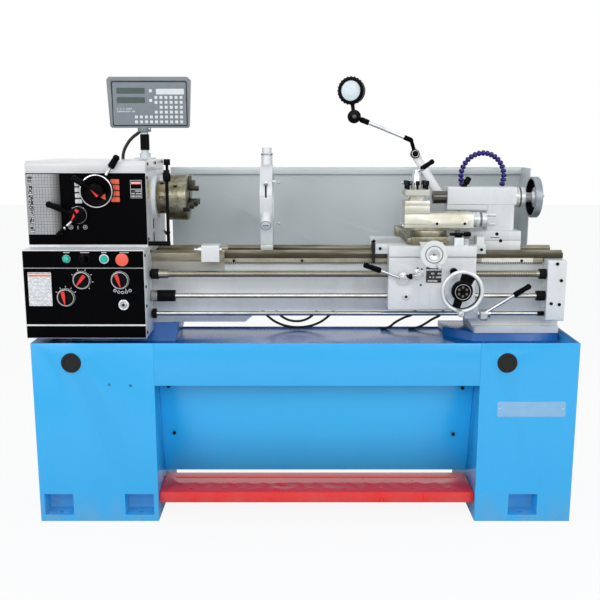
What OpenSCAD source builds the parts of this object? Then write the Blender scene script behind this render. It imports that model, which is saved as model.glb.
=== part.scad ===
// Engine lathe on a two-cabinet stand, with its readout, lamp, coolant hose and steady rest.
// Millimetres. X runs from headstock to tailstock, Y away from the operator, Z up from the floor.

/* [Stand] */
// Length of the stand over both cabinets
stand_l = 1804; // [1760:2:1860]
// Depth of the stand, front to back
stand_d = 420; // [410:2:450]
// Height of the stand to the rim of the chip tray
stand_h = 625; // [590:1:660]
// Width of the cabinet under the headstock
left_cab_w = 402; // [380:1:420]
// Width of the cabinet under the tailstock
right_cab_w = 325; // [315:1:340]
// Thickness of the sheet steel
sheet = 3; // [2:0.5:5]
// Depth of the chip tray below its rim
tray_drop = 43; // [25:1:55]
// Height of the tray's front panel, from the rim down
tray_front_h = 145; // [110:1:180]
// Setback of the kick panel at its top
kick_set_top = 90; // [70:1:110]
// Setback of the kick panel at its foot
kick_set_foot = 165; // [140:1:180]
// Height of the kick panel's foot above the floor
kick_foot_z = 118; // [110:1:140]
// Width of a pocket for an anchor bolt
pocket_w = 98; // [80:1:110]
// Height of a pocket for an anchor bolt
pocket_h = 76; // [60:1:90]
// Depth of a pocket for an anchor bolt
pocket_d = 66; // [50:1:80]
// Distance of the pockets from the cabinet's sides
pocket_edge = 15; // [10:1:25]
// Distance of the right cabinet's pocket from its outer side
right_pocket_edge = 113; // [90:1:120]
// Radius of an anchor bolt hole
anchor_r = 7; // [5:0.5:9]

/* [Foot brake] */
// Height of the top of the treadle
treadle_z = 96; // [90:1:105]
// Depth of the treadle, front to back
treadle_d = 172; // [150:1:185]
// Height of the treadle's front lip
treadle_lip = 37; // [25:1:45]
// Radius of the treadle's pivot pins
treadle_pin_r = 8; // [6:0.5:10]

/* [Bed] */
// Height of the ways above the top of the stand
bed_h = 280; // [265:1:295]
// Width of the bed over its rails
bed_w = 206; // [200:1:220]
// Distance of the bed's front from the middle of the stand
bed_front = 10; // [5:1:15]
// Depth of one rail
rail_w = 56; // [54:1:60]
// Thickness of a rail below its flat
rail_t = 18; // [16:1:22]
// Height of a vee way above its flat
vee_h = 8; // [6:1:10]
// Width of a vee way at its foot
vee_w = 20; // [18:1:24]
// Thickness of the bed's webs
web_t = 14; // [12:1:20]
// Height of the bed's underside between its feet
arch_z = 690; // [670:1:710]
// Length of the removable gap piece
gap_l = 252; // [230:1:280]
// Depth of the gap below the ways
gap_drop = 68; // [66:1:80]

/* [Rods] */
// Distance of the rods in front of the bed
rod_out = 35; // [33:1:38]
// Height of the leadscrew
screw_z = 829; // [825:1:832]
// Radius of the leadscrew
screw_r = 11; // [10:0.5:12]
// Height of the feed rod
feed_z = 753; // [745:1:760]
// Radius of the feed rod
feed_r = 8.5; // [7:0.5:10]
// Height of the control rod
control_z = 691; // [688:1:694]
// Radius of the control rod
control_r = 8; // [6:0.5:9]

/* [Headstock] */
// Width of the headstock with its end cover
head_w = 400; // [390:1:410]
// Overhang of the end cover past the stand
cover_overhang = 29; // [20:1:40]
// Width of the end cover
end_cover_w = 106; // [100:1:115]
// Height of the headstock above the ways
head_h = 270; // [260:1:285]
// Thickness of the headstock's top cover
lid_t = 36; // [28:1:44]
// Distance of the headstock's front from the spindle
head_front = 165; // [155:1:172]
// Distance of the headstock's back from the spindle
head_back = 210; // [190:1:215]
// Height of the spindle above the ways
centre_h = 176; // [172:1:182]
// Radius of the hole through the spindle
spindle_bore_r = 26; // [22:0.5:28]
// Radius of the spindle's journals
journal_r = 40; // [36:0.5:44]
// Radius of the spindle nose
nose_r = 58; // [54:1:62]
// Distance of the gearbox's front from the bed
gearbox_out = 140; // [130:1:145]
// Height of the gearbox's ledge above the ways
ledge_up = 20; // [16:1:26]

/* [Chuck] */
// Radius of the chuck
chuck_r = 80; // [76:1:84]
// Length of the chuck's body
chuck_l = 72; // [66:1:80]
// Radius of the hole through the chuck
chuck_bore_r = 20; // [16:0.5:22]
// Width of a jaw
jaw_w = 18; // [14:1:20]
// Radius at which the jaws stand open
jaw_open = 22; // [21:0.5:26]
// Reach of the jaws past the chuck's face
jaw_reach = 34; // [28:1:38]

/* [Carriage] */
// Length from the apron's left edge to the tailstock's base
carriage_gap = 292; // [290:1:298]
// Width of the apron
apron_w = 294; // [290:1:298]
// Height of the apron below the saddle
apron_h = 180; // [175:1:184]
// Depth of the apron, front to back
apron_d = 66; // [64:1:67]
// Thickness of the saddle above the ways
saddle_t = 24; // [22:1:28]
// Width of the cross slide
cross_w = 126; // [120:1:134]
// Length of the cross slide
cross_l = 330; // [310:1:336]
// Height of the cross slide
cross_h = 28; // [24:1:32]
// Radius of the swivel base
swivel_r = 63; // [58:1:66]
// Height of the swivel base's disc
swivel_h = 20; // [16:1:24]
// Length of the top slide
top_l = 234; // [226:1:238]
// Width of the top slide
top_w = 84; // [80:1:88]
// Height of the top slide
top_h = 49; // [45:1:52]
// Side of the tool post
post_w = 84; // [80:1:86]
// Height of the tool post
post_h = 54; // [50:1:58]
// Height of a tool slot
tool_slot_h = 18; // [14:1:20]
// Depth of a tool slot
tool_slot_d = 20; // [16:1:22]
// Radius of the carriage handwheel
carriage_wheel_r = 72; // [66:1:74]
// Radius of the cross-slide handwheel
cross_wheel_r = 45; // [40:1:48]

/* [Tailstock] */
// Distance of the tailstock from the end of the bed
tail_gap = 139; // [133:1:145]
// Length of the tailstock's base
tail_base_l = 178; // [170:1:186]
// Length of the tailstock's barrel
barrel_l = 240; // [233:1:247]
// Radius of the tailstock's barrel
barrel_r = 34; // [32:1:36]
// Radius of the quill
quill_r = 22.5; // [20:0.5:24]
// Length of the quill outside the barrel
quill_out = 48; // [40:1:56]
// Radius of the socket in the quill
socket_r = 11; // [9:0.5:12]
// Radius of the tailstock handwheel
tail_wheel_r = 72; // [66:1:74]

/* [Steady rest] */
// Distance of the steady rest from the headstock
steady_x = 376; // [360:1:400]
// Thickness of the steady rest along the bed
steady_t = 42; // [36:1:46]
// Inner radius of the steady rest's ring
steady_ring_r = 84; // [78:1:88]
// Thickness of the steady rest's ring
steady_wall = 32; // [26:1:36]

/* [Guard, readout and lamp] */
// Height of the splash guard's top above the ways
guard_up = 274; // [260:1:290]
// Distance of the splash guard behind the bed
guard_back = 134; // [120:1:140]
// Width of the readout case at its top
readout_w = 300; // [270:1:310]
// Height of the readout case
readout_h = 180; // [160:1:190]
// Depth of the readout case
readout_d = 46; // [40:1:60]
// Radius of the work lamp's head
lamp_r = 48; // [44:1:50]

/* [Fits] */
// Radial clearance of a shaft in its bore
run_fit = 0.05; // [0.02:0.01:0.1]
// Gap between sliding or turning faces
slide_fit = 0.3; // [0.2:0.05:0.5]

/* [Hidden] */
$fn = 48;
eps = 1;

// Stand: the origin lies on the floor, in the middle of the four anchor bolts
left_anchor = pocket_edge + pocket_w / 2;
right_anchor = right_pocket_edge + pocket_w / 2;
stand_x0 = -(stand_l - left_anchor - right_anchor) / 2 - left_anchor;
stand_x1 = stand_x0 + stand_l;
stand_y0 = -stand_d / 2;
stand_y1 = stand_d / 2;
cab_x1 = stand_x0 + left_cab_w;
cab_x2 = stand_x1 - right_cab_w;
tray_z = stand_h - tray_drop;
pan_z = tray_z - sheet;
base_t = 6;
pocket_z = 22;
anchor_y = stand_d / 2 - pocket_d / 2;
plug_r = 30;
plug_z = stand_h - 66;
pivot_y = stand_y0 + 20 + treadle_d - 14;
pivot_z = treadle_z - sheet - treadle_pin_r - 3;
riser_h = 32;
left_riser_h = 68;

// Bed
way_z = stand_h + bed_h;
flat_z = way_z - vee_h;
rail_z = flat_z - rail_t;
bed_y0 = -bed_front;
bed_y1 = bed_y0 + bed_w;
front_vee_y = bed_y0 + vee_w / 2 + 8;
rear_vee_y = bed_y1 - rail_w + vee_w / 2 + 2;
head_x0 = stand_x0 - cover_overhang;
casting_x0 = head_x0 + end_cover_w;
head_x1 = head_x0 + head_w;
gap_x1 = head_x1 + gap_l;
gap_z = way_z - gap_drop;
bed_x1 = stand_x1 - 12;
left_foot_z = tray_z + left_riser_h;
left_foot_x = head_x1 + 86;
arch_x0 = head_x1 + 320;
right_foot_z = tray_z + riser_h;
foot_flange_t = 24;
right_foot_l = 298;
right_foot_x = bed_x1 - right_foot_l;
rod_y = bed_y0 - rod_out;
bracket_l = 63;
bracket_x0 = bed_x1 - bracket_l - 3;
rack_h = 18;
rack_pitch = 6;

// Headstock and chuck
spindle_y = (bed_y0 + bed_y1) / 2 + 2;
spindle_z = way_z + centre_h;
head_y0 = spindle_y - head_front;
head_y1 = spindle_y + head_back;
head_z1 = way_z + head_h;
ledge_z = way_z + ledge_up;
gearbox_y0 = bed_y0 - gearbox_out;
gearbox_z0 = stand_h + 2;
casting_t = 25;
ring_t = 13;
nose_t = 33.5;
chuck_x0 = head_x1 + ring_t + 0.5 + nose_t;
chuck_x1 = chuck_x0 + 3 + chuck_l;
jaw_depth = 14;

// Carriage
tail_x1 = bed_x1 - tail_gap;
tail_x0 = tail_x1 - tail_base_l;
main_x0 = tail_x0 - carriage_gap;
main_x1 = main_x0 + apron_w;
wing_l = 42;
saddle_z = way_z + saddle_t;
seam_z = way_z - 12;
apron_y0 = bed_y0 - apron_d - 14;
apron_y1 = bed_y0 - 14;
swivel_x = (main_x0 + main_x1) / 2 - 5;
swivel_y = 3;
cross_z = saddle_z + 0.5 + cross_h;
swivel_z = cross_z + swivel_h;
tail_way_h = 9;
top_z0 = swivel_z + tail_way_h;
top_z1 = top_z0 + top_h;
top_x0 = swivel_x - 86;
top_x1 = top_x0 + top_l;
post_x = top_x0 + post_w / 2;
post_foot_h = 25;
post_z0 = top_z1 + post_foot_h;
post_z1 = post_z0 + post_h;
cross_wheel_x = main_x0 + 135;
cross_wheel_z = saddle_z - 14;
cross_wheel_y = apron_y0 - 92;
carriage_wheel_x = main_x0 + 236;
carriage_wheel_z = seam_z - 104;
carriage_wheel_y = apron_y0 - 66;

// Tailstock
barrel_x1 = tail_x1 - 13;
barrel_x0 = barrel_x1 - barrel_l;
tail_y0 = front_vee_y + vee_w / 2 + 8;
tail_y1 = rear_vee_y + vee_w / 2 + 2;

// Steady rest, guard, readout and lamp
steady_x0 = head_x1 + steady_x;
steady_cx = steady_x0 + steady_t / 2;
guard_y = bed_y1 + guard_back;
guard_x0 = head_x1 + 24;
guard_x1 = bed_x1 - 70;
guard_z1 = way_z + guard_up;
guard_z0 = way_z - 150;
lid_z = head_z1 + lid_t;
readout_x = head_x1 - 57;
readout_y = spindle_y + 155;
readout_z = lid_z + 98;
lamp_y = spindle_y + 142;
lamp_base_x = main_x1 + 3;
elbow_x = lamp_base_x - 176;
elbow_z = way_z + 325;
knuckle_x = elbow_x - 225;
knuckle_z = way_z + 457;

// A cylinder along X, Y or Z between two places
module along_x(x0, x1, y, z, r) translate([x0, y, z]) rotate([0, 90, 0]) cylinder(r = r, h = x1 - x0);
module along_y(y0, y1, x, z, r) translate([x, y0, z]) rotate([-90, 0, 0]) cylinder(r = r, h = y1 - y0);
module along_z(z0, z1, x, y, r) translate([x, y, z0]) cylinder(r = r, h = z1 - z0);

// A block between its lowest and highest corners
module block(lo, hi) translate(lo) cube(hi - lo);

// An outline in (Y, Z) drawn out along X, in (X, Z) along Y, or in (X, Y) along Z
module section_x(x0, x1) translate([x0, 0, 0]) rotate([90, 0, 90]) linear_extrude(x1 - x0) children();
module section_y(y0, y1) translate([0, y1, 0]) rotate([90, 0, 0]) linear_extrude(y1 - y0) children();
module section_z(z0, z1) translate([0, 0, z0]) linear_extrude(z1 - z0) children();

// A rectangle with round corners
module rounded(lo, hi, r) {
    translate([lo[0] + r, lo[1]]) square([hi[0] - lo[0] - 2 * r, hi[1] - lo[1]]);
    translate([lo[0], lo[1] + r]) square([hi[0] - lo[0], hi[1] - lo[1] - 2 * r]);
    for (x = [lo[0] + r, hi[0] - r], y = [lo[1] + r, hi[1] - r]) translate([x, y]) circle(r);
}

// A cone along Y, wide end at y0
module cone_y(y0, y1, x, z, r0, r1) {
    translate([x, y0, z]) rotate([-90, 0, 0]) rotate_extrude() polygon([[0, 0], [r0, 0], [r1, y1 - y0],
        [0, y1 - y0]]);
}

// A round-ended grip of the given radius, from a to b along its own X
module grip(a, b, r) {
    translate([a, 0, 0]) rotate([0, 90, 0]) rotate_extrude()
        polygon([[0, 0], [0.7 * r, 0], [r, 0.4 * r], [0.86 * r, 0.7 * (b - a)], [r, b - a - 0.6 * r],
            [0.6 * r, b - a], [0, b - a]]);
}

// A tube swept along points in (X, Z) at one Y, closed at both ends
function swept_dir(p, i) = let(a = p[max(i - 1, 0)], b = p[min(i + 1, len(p) - 1)], d = b - a) d / norm(d);
module swept(p, y, radii, sides) {
    n = len(p);
    rings = [for (i = [0 : n - 1]) let(d = swept_dir(p, i)) for (k = [0 : sides - 1])
        let(a = 360 * k / sides, u = radii[i] * cos(a), v = radii[i] * sin(a))
        [p[i][0] - d[1] * u, y + v, p[i][1] + d[0] * u]];
    walls = [for (i = [0 : n - 2], k = [0 : sides - 1]) let(j = (k + 1) % sides)
        [i * sides + k, i * sides + j, (i + 1) * sides + j, (i + 1) * sides + k]];
    polyhedron(rings, concat([[for (k = [sides - 1 : -1 : 0]) k]], walls,
        [[for (k = [0 : sides - 1]) (n - 1) * sides + k]]));
}

// ---- Stand ----

// A sheet-steel cabinet with open-fronted pockets for its anchor bolts and a screwed cover behind
module cabinet(x0, x1, open_x0, open_x1, pocket_xs) {
    difference() {
        union() {
            difference() {
                block([x0, stand_y0, 0], [x1, stand_y1, stand_h]);
                block([x0 + sheet, stand_y0 + sheet, base_t], [x1 - sheet, stand_y1 - sheet,
                    stand_h + eps]);
                block([open_x0, stand_y0 + sheet, pan_z], [open_x1, stand_y1 + eps, stand_h + eps]);
            }
            for (x = pocket_xs, side = [-1, 1]) pocket_walls(x, side);
            block([x0 + 45, stand_y1 - eps, 150], [x1 - 45, stand_y1 + 2, pan_z - 60]);
        }
        for (x = pocket_xs, side = [-1, 1]) pocket_hollow(x, side);
    }
}

module pocket_walls(x, side) {
    y = side * (stand_d / 2 - pocket_d / 2);
    block([x - pocket_w / 2 - sheet, y - pocket_d / 2 - (side > 0 ? sheet : 0), 0],
        [x + pocket_w / 2 + sheet, y + pocket_d / 2 + (side < 0 ? sheet : 0), pocket_z + pocket_h + sheet]);
}

module pocket_hollow(x, side) {
    y = side * (stand_d / 2 - pocket_d / 2);
    block([x - pocket_w / 2, y - pocket_d / 2 - (side < 0 ? eps : 0), pocket_z],
        [x + pocket_w / 2, y + pocket_d / 2 + (side > 0 ? eps : 0), pocket_z + pocket_h]);
    along_z(-eps, pocket_z + eps, x, y, anchor_r);
}

// The boss and pin hole that carry one end of the treadle, as a solid and as its hole
module pivot_boss(x0, x1) along_x(x0, x1, pivot_y, pivot_z, treadle_pin_r + 7);
module pivot_hole(x0, x1) along_x(x0, x1, pivot_y, pivot_z, treadle_pin_r + run_fit);

module left_cabinet() {
    color("deepskyblue") difference() {
        union() {
            cabinet(stand_x0, cab_x1, stand_x0 + sheet, cab_x1 + eps,
                [stand_x0 + left_anchor, cab_x1 - pocket_edge - pocket_w / 2]);
            pivot_boss(cab_x1 - 14, cab_x1);
            along_y(stand_y0 - 2, stand_y0 + sheet, stand_x0 + 147, plug_z, plug_r);
        }
        pivot_hole(cab_x1 - 15, cab_x1 + eps);
    }
}

module right_cabinet() {
    color("deepskyblue") difference() {
        union() {
            cabinet(cab_x2, stand_x1, cab_x2 - eps, stand_x1 - sheet,
                [stand_x1 - right_anchor]);
            pivot_boss(cab_x2, cab_x2 + 14);
            along_y(stand_y0 - 2, stand_y0 + sheet, cab_x2 + 75, plug_z, plug_r);
        }
        pivot_hole(cab_x2 - eps, cab_x2 + 15);
    }
}

// The pan between the sheets of the stand, its front panel, and the risers that carry the bed
module chip_tray() {
    color("dodgerblue") {
        block([stand_x0 + sheet, stand_y0 + sheet, pan_z], [stand_x1 - sheet, stand_y1, tray_z]);
        block([cab_x1, stand_y0, stand_h - tray_front_h], [cab_x2, stand_y0 + sheet, stand_h]);
        block([cab_x1, stand_y0, stand_h - tray_front_h], [cab_x2, stand_y0 + 18,
            stand_h - tray_front_h + sheet]);
        block([stand_x0 + sheet, stand_y1 - sheet, pan_z], [stand_x1 - sheet, stand_y1, tray_z + 5]);
        section_y(bed_y0 + 10, bed_y1) polygon([[casting_x0, tray_z], [left_foot_x - 14, tray_z],
            [left_foot_x, left_foot_z], [casting_x0, left_foot_z]]);
        section_z(tray_z, right_foot_z) polygon([[right_foot_x, bed_y0 + 5], [bed_x1, bed_y0 + 5],
            [bed_x1, bed_y1], [right_foot_x - 92, bed_y1], [right_foot_x - 92, bed_y0 + 100]]);
    }
}

module kick_panel() {
    kick_y = stand_y0 + kick_set_top;
    foot_y = stand_y0 + kick_set_foot;
    top_z = stand_h - tray_front_h;
    color("deepskyblue") section_x(cab_x1, cab_x2) polygon([[kick_y, pan_z], [kick_y, top_z],
        [foot_y, kick_foot_z], [foot_y + 12, kick_foot_z], [foot_y + 12, kick_foot_z + sheet],
        [foot_y + sheet, kick_foot_z + sheet], [kick_y + sheet, top_z], [kick_y + sheet, pan_z]]);
}

// The treadle: a folded plate on a cross tube, with raised treads and a slot near its back
module foot_brake() {
    x0 = cab_x1 + 2;
    x1 = cab_x2 - 2;
    y0 = stand_y0 + 20;
    treads = floor((x1 - x0 - 60) / 60);
    color("crimson") {
        difference() {
            union() {
                block([x0, y0, treadle_z - sheet], [x1, y0 + treadle_d, treadle_z]);
                block([x0, y0, treadle_z - treadle_lip], [x1, y0 + sheet, treadle_z]);
                block([x0, y0 + treadle_d - sheet, pivot_z], [x1, y0 + treadle_d, treadle_z]);
                for (x = [x0, x1 - sheet]) block([x, y0, treadle_z - treadle_lip], [x + sheet,
                    y0 + treadle_d, treadle_z]);
                along_x(x0, x1, pivot_y, pivot_z, treadle_pin_r + 6);
            }
            block([x0 + 38, y0 + treadle_d - 50, treadle_z - sheet - eps], [x1 - 36,
                y0 + treadle_d - 42, treadle_z + eps]);
        }
        for (i = [0 : treads], row = [0, 1]) translate([x0 + 30 + 60 * i + 30 * row, y0 + 30 + 45 * row,
            treadle_z - 0.5])
            rotate(row == 0 ? 35 : -35) translate([-13, -2, 0]) cube([26, 4, 2]);
        along_x(cab_x1 - 13, cab_x2 + 13, pivot_y, pivot_z, treadle_pin_r);
    }
}

// ---- Bed ----

// The section of a front or rear rail, with its vee for the saddle or the tailstock
module rail_outline(y0, vee_y) {
    polygon([[y0, rail_z], [y0, flat_z], [vee_y - vee_w / 2, flat_z], [vee_y, way_z],
        [vee_y + vee_w / 2, flat_z], [y0 + rail_w, flat_z], [y0 + rail_w, rail_z]]);
}
module front_rail() rail_outline(bed_y0, front_vee_y);
module rear_rail() rail_outline(bed_y1 - rail_w, rear_vee_y);

// The side of the bed: an arch between its feet, and the gap under the chuck
module bed_side() {
    polygon([[casting_x0, left_foot_z], [arch_x0, left_foot_z], [arch_x0 + 48, arch_z],
        [right_foot_x - 78, arch_z], [right_foot_x - 30, arch_z - 14], [right_foot_x + 8, right_foot_z],
        [bed_x1, right_foot_z], [bed_x1, rail_z + eps], [gap_x1, rail_z + eps], [gap_x1, gap_z],
        [head_x1, gap_z], [head_x1, rail_z + eps], [casting_x0, rail_z + eps]]);
}

module bed() {
    web_y0 = bed_y0 + 16;
    web_y1 = bed_y1 - 16 - web_t;
    rib_gap = 170;
    ribs = floor((bed_x1 - gap_x1) / rib_gap);
    color("lightgray") {
        for (y = [web_y0, web_y1]) section_y(y, y + web_t) bed_side();
        for (span = [[casting_x0, head_x1], [gap_x1, bed_x1]]) {
            section_x(span[0], span[1]) front_rail();
            section_x(span[0], span[1]) rear_rail();
        }
        block([gap_x1, bed_y0 + 4, gap_z], [bed_x1, web_y0 + eps, rail_z + eps]);
        block([gap_x1, bed_y0 + 8, gap_z - 6], [bed_x1, web_y0 + eps, gap_z]);
        for (i = [0 : ribs - 1]) block([gap_x1 + 40 + rib_gap * i, web_y0 + eps, arch_z + 12],
            [gap_x1 + 52 + rib_gap * i, web_y1 + eps, rail_z - 22]);
        block([bed_x1 - web_t, web_y0, right_foot_z], [bed_x1, web_y1 + web_t, rail_z]);
        block([casting_x0, web_y0, left_foot_z], [casting_x0 + web_t, web_y1 + web_t, rail_z]);
        block([casting_x0, bed_y0 + 10, left_foot_z], [left_foot_x - 20, bed_y1,
            left_foot_z + foot_flange_t]);
        section_z(right_foot_z, right_foot_z + foot_flange_t)
            rounded([right_foot_x, bed_y0 - 5], [bed_x1, bed_y1], 8);
    }
}

module gap_piece() {
    color("silver") {
        section_x(head_x1, gap_x1) front_rail();
        section_x(head_x1, gap_x1) rear_rail();
        block([head_x1, bed_y0 + 4, gap_z], [gap_x1, bed_y1 - 4, gap_z + 22]);
        block([head_x1, bed_y0 + 4, gap_z], [gap_x1, bed_y0 + 30, rail_z + eps]);
        block([head_x1, bed_y1 - 30, gap_z], [gap_x1, bed_y1 - 4, rail_z + eps]);
    }
}

// The rack under the front rail, with its teeth downwards
module rack() {
    x1 = bracket_x0 - 4;
    tooth = rack_pitch / 4;
    teeth = floor((x1 - gap_x1) / rack_pitch);
    y0 = bed_y0 - 8;
    color("darkgray") section_y(y0, bed_y0 + 4) polygon(concat([[gap_x1, rail_z], [gap_x1,
        rail_z - rack_h + 5]],
        [for (i = [0 : teeth - 1], k = [0 : 3])
            [gap_x1 + rack_pitch * i + tooth * (k + (k > 1 ? 0.4 : 0.6)),
                rail_z - rack_h + (k == 1 || k == 2 ? 0 : 5)]],
        [[x1, rail_z - rack_h + 5], [x1, rail_z]]));
}

module leadscrew() {
    color("tan") {
        along_x(head_x1 - 24, bed_x1 - 8, rod_y, screw_z, screw_r);
        along_x(head_x1 + 4, head_x1 + 30, rod_y, screw_z, screw_r + 7);
        along_x(head_x1 + 30, head_x1 + 62, rod_y, screw_z, screw_r + 4);
        along_x(bracket_x0 - 24, bracket_x0 - 1, rod_y, screw_z, screw_r + 7);
    }
}

module feed_rod() {
    color("silver") {
        along_x(head_x1 - 24, bed_x1 - 8, rod_y, feed_z, feed_r);
        along_x(head_x1 + 2, head_x1 + 84, rod_y, feed_z, feed_r + 11.5);
        along_x(bracket_x0 - 30, bracket_x0 - 1, rod_y, feed_z, feed_r + 9);
    }
}

module control_rod() {
    color("silver") {
        along_x(head_x1 - 24, bed_x1 - 8, rod_y, control_z, control_r);
        along_x(head_x1 + 4, head_x1 + 18, rod_y, control_z, control_r + 9);
    }
}

// The bracket that carries the right-hand ends of the three rods
module rod_bracket() {
    color("whitesmoke") difference() {
        section_x(bracket_x0, bracket_x0 + bracket_l)
            rounded([rod_y - screw_r - 14, control_z - 22], [bed_y0 + 16, rail_z - 1], 6);
        along_x(bracket_x0 - eps, bed_x1, rod_y, screw_z, screw_r + run_fit);
        along_x(bracket_x0 - eps, bed_x1, rod_y, feed_z, feed_r + run_fit);
        along_x(bracket_x0 - eps, bed_x1, rod_y, control_z, control_r + run_fit);
        block([bracket_x0 - eps, bed_y0 + 4 - eps, gap_z - 7], [bed_x1, bed_y0 + 20, rail_z]);
        block([bracket_x0 - eps, bed_y0 + 15.5, 0], [bed_x1, bed_y0 + 20, rail_z]);
    }
}

// The micrometer carriage stop, clamped on the front rail
module carriage_stop() {
    x0 = head_x1 + 177;
    x1 = x0 + 61;
    y1 = bed_y0 - 10;
    top = way_z + 22;
    color("white") {
        block([x0, y1 - 32, top - 56], [x1, y1, top]);
        block([x0, y1 - eps, way_z + 2 * slide_fit], [x1, front_vee_y + vee_w / 2, top]);
    }
    color("silver") {
        along_x(x0 - 25, x0 + eps, y1 - 18, top - 15, 5);
        along_x(x0 - 10, x0, y1 - 18, top - 15, 11);
        along_x(x1 - eps, x1 + 8, y1 - 18, top - 15, 6);
    }
}

// ---- Headstock ----
upper_x = head_x1 - 162;
upper_z = spindle_z + 32;
lower_x = head_x1 - 226;
lower_z = spindle_z - 47;
pin_r = 8;
hub_pin_r = 14;
dial_pin_r = 6;
dial_spots = [[head_x1 - 207, feed_z + 72], [head_x1 - 262, feed_z + 14], [head_x1 - 81, feed_z + 72]];
button_z = ledge_z - 29;
switch_x = head_x1 - 195;
start_x = head_x1 - 130;
stop_x = head_x1 - 67;
button_r = 12;

module headstock() {
    y0 = head_y0 + casting_t;
    color("whitesmoke") difference() {
        union() {
            section_x(casting_x0, head_x1) rounded([head_y0, flat_z], [head_y1, head_z1], 4);
            along_x(head_x1 - eps, head_x1 + ring_t, spindle_y, spindle_z, journal_r + 35);
        }
        section_x(casting_x0 - eps, head_x1 + eps) front_rail();
        section_x(casting_x0 - eps, head_x1 + eps) rear_rail();
        block([casting_x0 + casting_t, y0, way_z + casting_t], [head_x1 - casting_t,
            head_y1 - casting_t, head_z1 + eps]);
        along_x(casting_x0 - eps, head_x1 + ring_t + eps, spindle_y, spindle_z, journal_r + run_fit);
        for (spot = [[upper_x, upper_z], [lower_x, lower_z]])
            along_y(head_y0 - eps, y0 + eps, spot[0], spot[1], hub_pin_r + run_fit);
        along_x(head_x1 - 20, head_x1 + eps, head_y0 + 14, way_z + 30, 6 + run_fit);
    }
}

module headstock_cover() {
    t = 6;
    color("whitesmoke") difference() {
        section_x(head_x0, head_x1) polygon([[head_y0, head_z1], [head_y0, lid_z - 10], [head_y0 + 10,
            lid_z],
            [head_y1 - 10, lid_z], [head_y1, lid_z - 10], [head_y1, head_z1]]);
        block([head_x0 + t, head_y0 + 12, head_z1 - eps], [head_x1 - t, head_y1 - 12, lid_z - t]);
    }
}

// The change-gear box in front of the bed, with seats for its dials, buttons and rods
module gearbox() {
    y0 = gearbox_y0;
    color("whitesmoke") difference() {
        union() {
            section_x(casting_x0, head_x1) polygon([[y0, gearbox_z0], [bed_y0, gearbox_z0], [bed_y0,
                flat_z],
                [head_y0, flat_z], [head_y0, ledge_z], [y0 + 3, ledge_z], [y0, ledge_z - 3]]);
            for (x = [start_x, stop_x]) along_y(y0 - 5, y0 + eps, x, button_z, button_r + 4);
            along_y(y0 - 4, y0 + eps, head_x1 - 254, button_z, 15);
            cone_y(y0 - 4, y0 - 11, head_x1 - 254, button_z, 12, 7);
            along_y(y0 - 4, y0 + eps, head_x1 - 72, feed_z - 11, 17);
        }
        for (spot = dial_spots) along_y(y0 - eps, y0 + 14, spot[0], spot[1], dial_pin_r + run_fit);
        along_y(y0 - eps, y0 + 14, switch_x, button_z, dial_pin_r + run_fit);
        for (x = [start_x, stop_x]) along_y(y0 - 6, y0 + 18, x, button_z, button_r + slide_fit);
        along_x(head_x1 - 24 - slide_fit, head_x1 + eps, rod_y, screw_z, screw_r + run_fit);
        along_x(head_x1 - 24 - slide_fit, head_x1 + eps, rod_y, feed_z, feed_r + run_fit);
        along_x(head_x1 - 24 - slide_fit, head_x1 + eps, rod_y, control_z, control_r + run_fit);
        along_y(y0 - 5, y0 - 2, head_x1 - 72, feed_z - 11, 11);
    }
}

// The outline of the end cover, drawn in by t all round
module cover_outline(t) {
    polygon([[gearbox_y0 + t, gearbox_z0 + t], [bed_y1 + 20 - t, gearbox_z0 + t], [head_y1 - t,
        gearbox_z0 + 90 + t],
        [head_y1 - t, head_z1 - slide_fit - t], [head_y0 + t, head_z1 - slide_fit - t],
        [head_y0 + t, ledge_z - t], [gearbox_y0 + t, ledge_z - t]]);
}

module end_cover() {
    color("whitesmoke") difference() {
        section_x(head_x0, casting_x0) cover_outline(0);
        section_x(head_x0 + sheet, casting_x0 + eps) cover_outline(sheet);
        along_x(head_x0 - eps, head_x0 + sheet + eps, spindle_y, spindle_z, spindle_bore_r + 14);
    }
}

module spindle() {
    color("silver") difference() {
        union() {
            along_x(head_x0 + sheet + 4, casting_x0 + eps, spindle_y, spindle_z, spindle_bore_r + 8);
            along_x(casting_x0, head_x1 + ring_t + 0.5 + eps, spindle_y, spindle_z, journal_r);
            along_x(head_x1 + ring_t + 0.5, chuck_x0, spindle_y, spindle_z, nose_r);
        }
        along_x(head_x0, chuck_x0 + eps, spindle_y, spindle_z, spindle_bore_r);
        for (a = [30 : 60 : 330]) translate([0, spindle_y, spindle_z]) rotate([a, 0, 0])
            along_z(nose_r - 14, nose_r + eps, head_x1 + ring_t + 18, 0, 7);
    }
}

module chuck_body() {
    slot = jaw_w / 2 + slide_fit;
    color("darkgoldenrod") translate([0, spindle_y, spindle_z]) difference() {
        union() {
            along_x(chuck_x0, chuck_x0 + 3 + eps, 0, 0, chuck_r - 16);
            translate([chuck_x0 + 3, 0, 0]) rotate([90, 0, 90]) rotate_extrude() polygon([[0, 0],
                [chuck_r - 3, 0],
                [chuck_r, 3], [chuck_r, chuck_l - 4], [chuck_r - 4, chuck_l], [0, chuck_l]]);
        }
        along_x(chuck_x0 - eps, chuck_x1 + eps, 0, 0, chuck_bore_r);
        for (i = [0 : 2]) rotate([120 * i, 0, 0]) {
            block([chuck_x1 - jaw_depth, -slot, 0], [chuck_x1 + eps, slot, chuck_r + eps]);
            rotate([60, 0, 0]) block([chuck_x0 + 30, -6, chuck_r - 16], [chuck_x0 + 42, 6, chuck_r + eps]);
        }
    }
}

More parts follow.
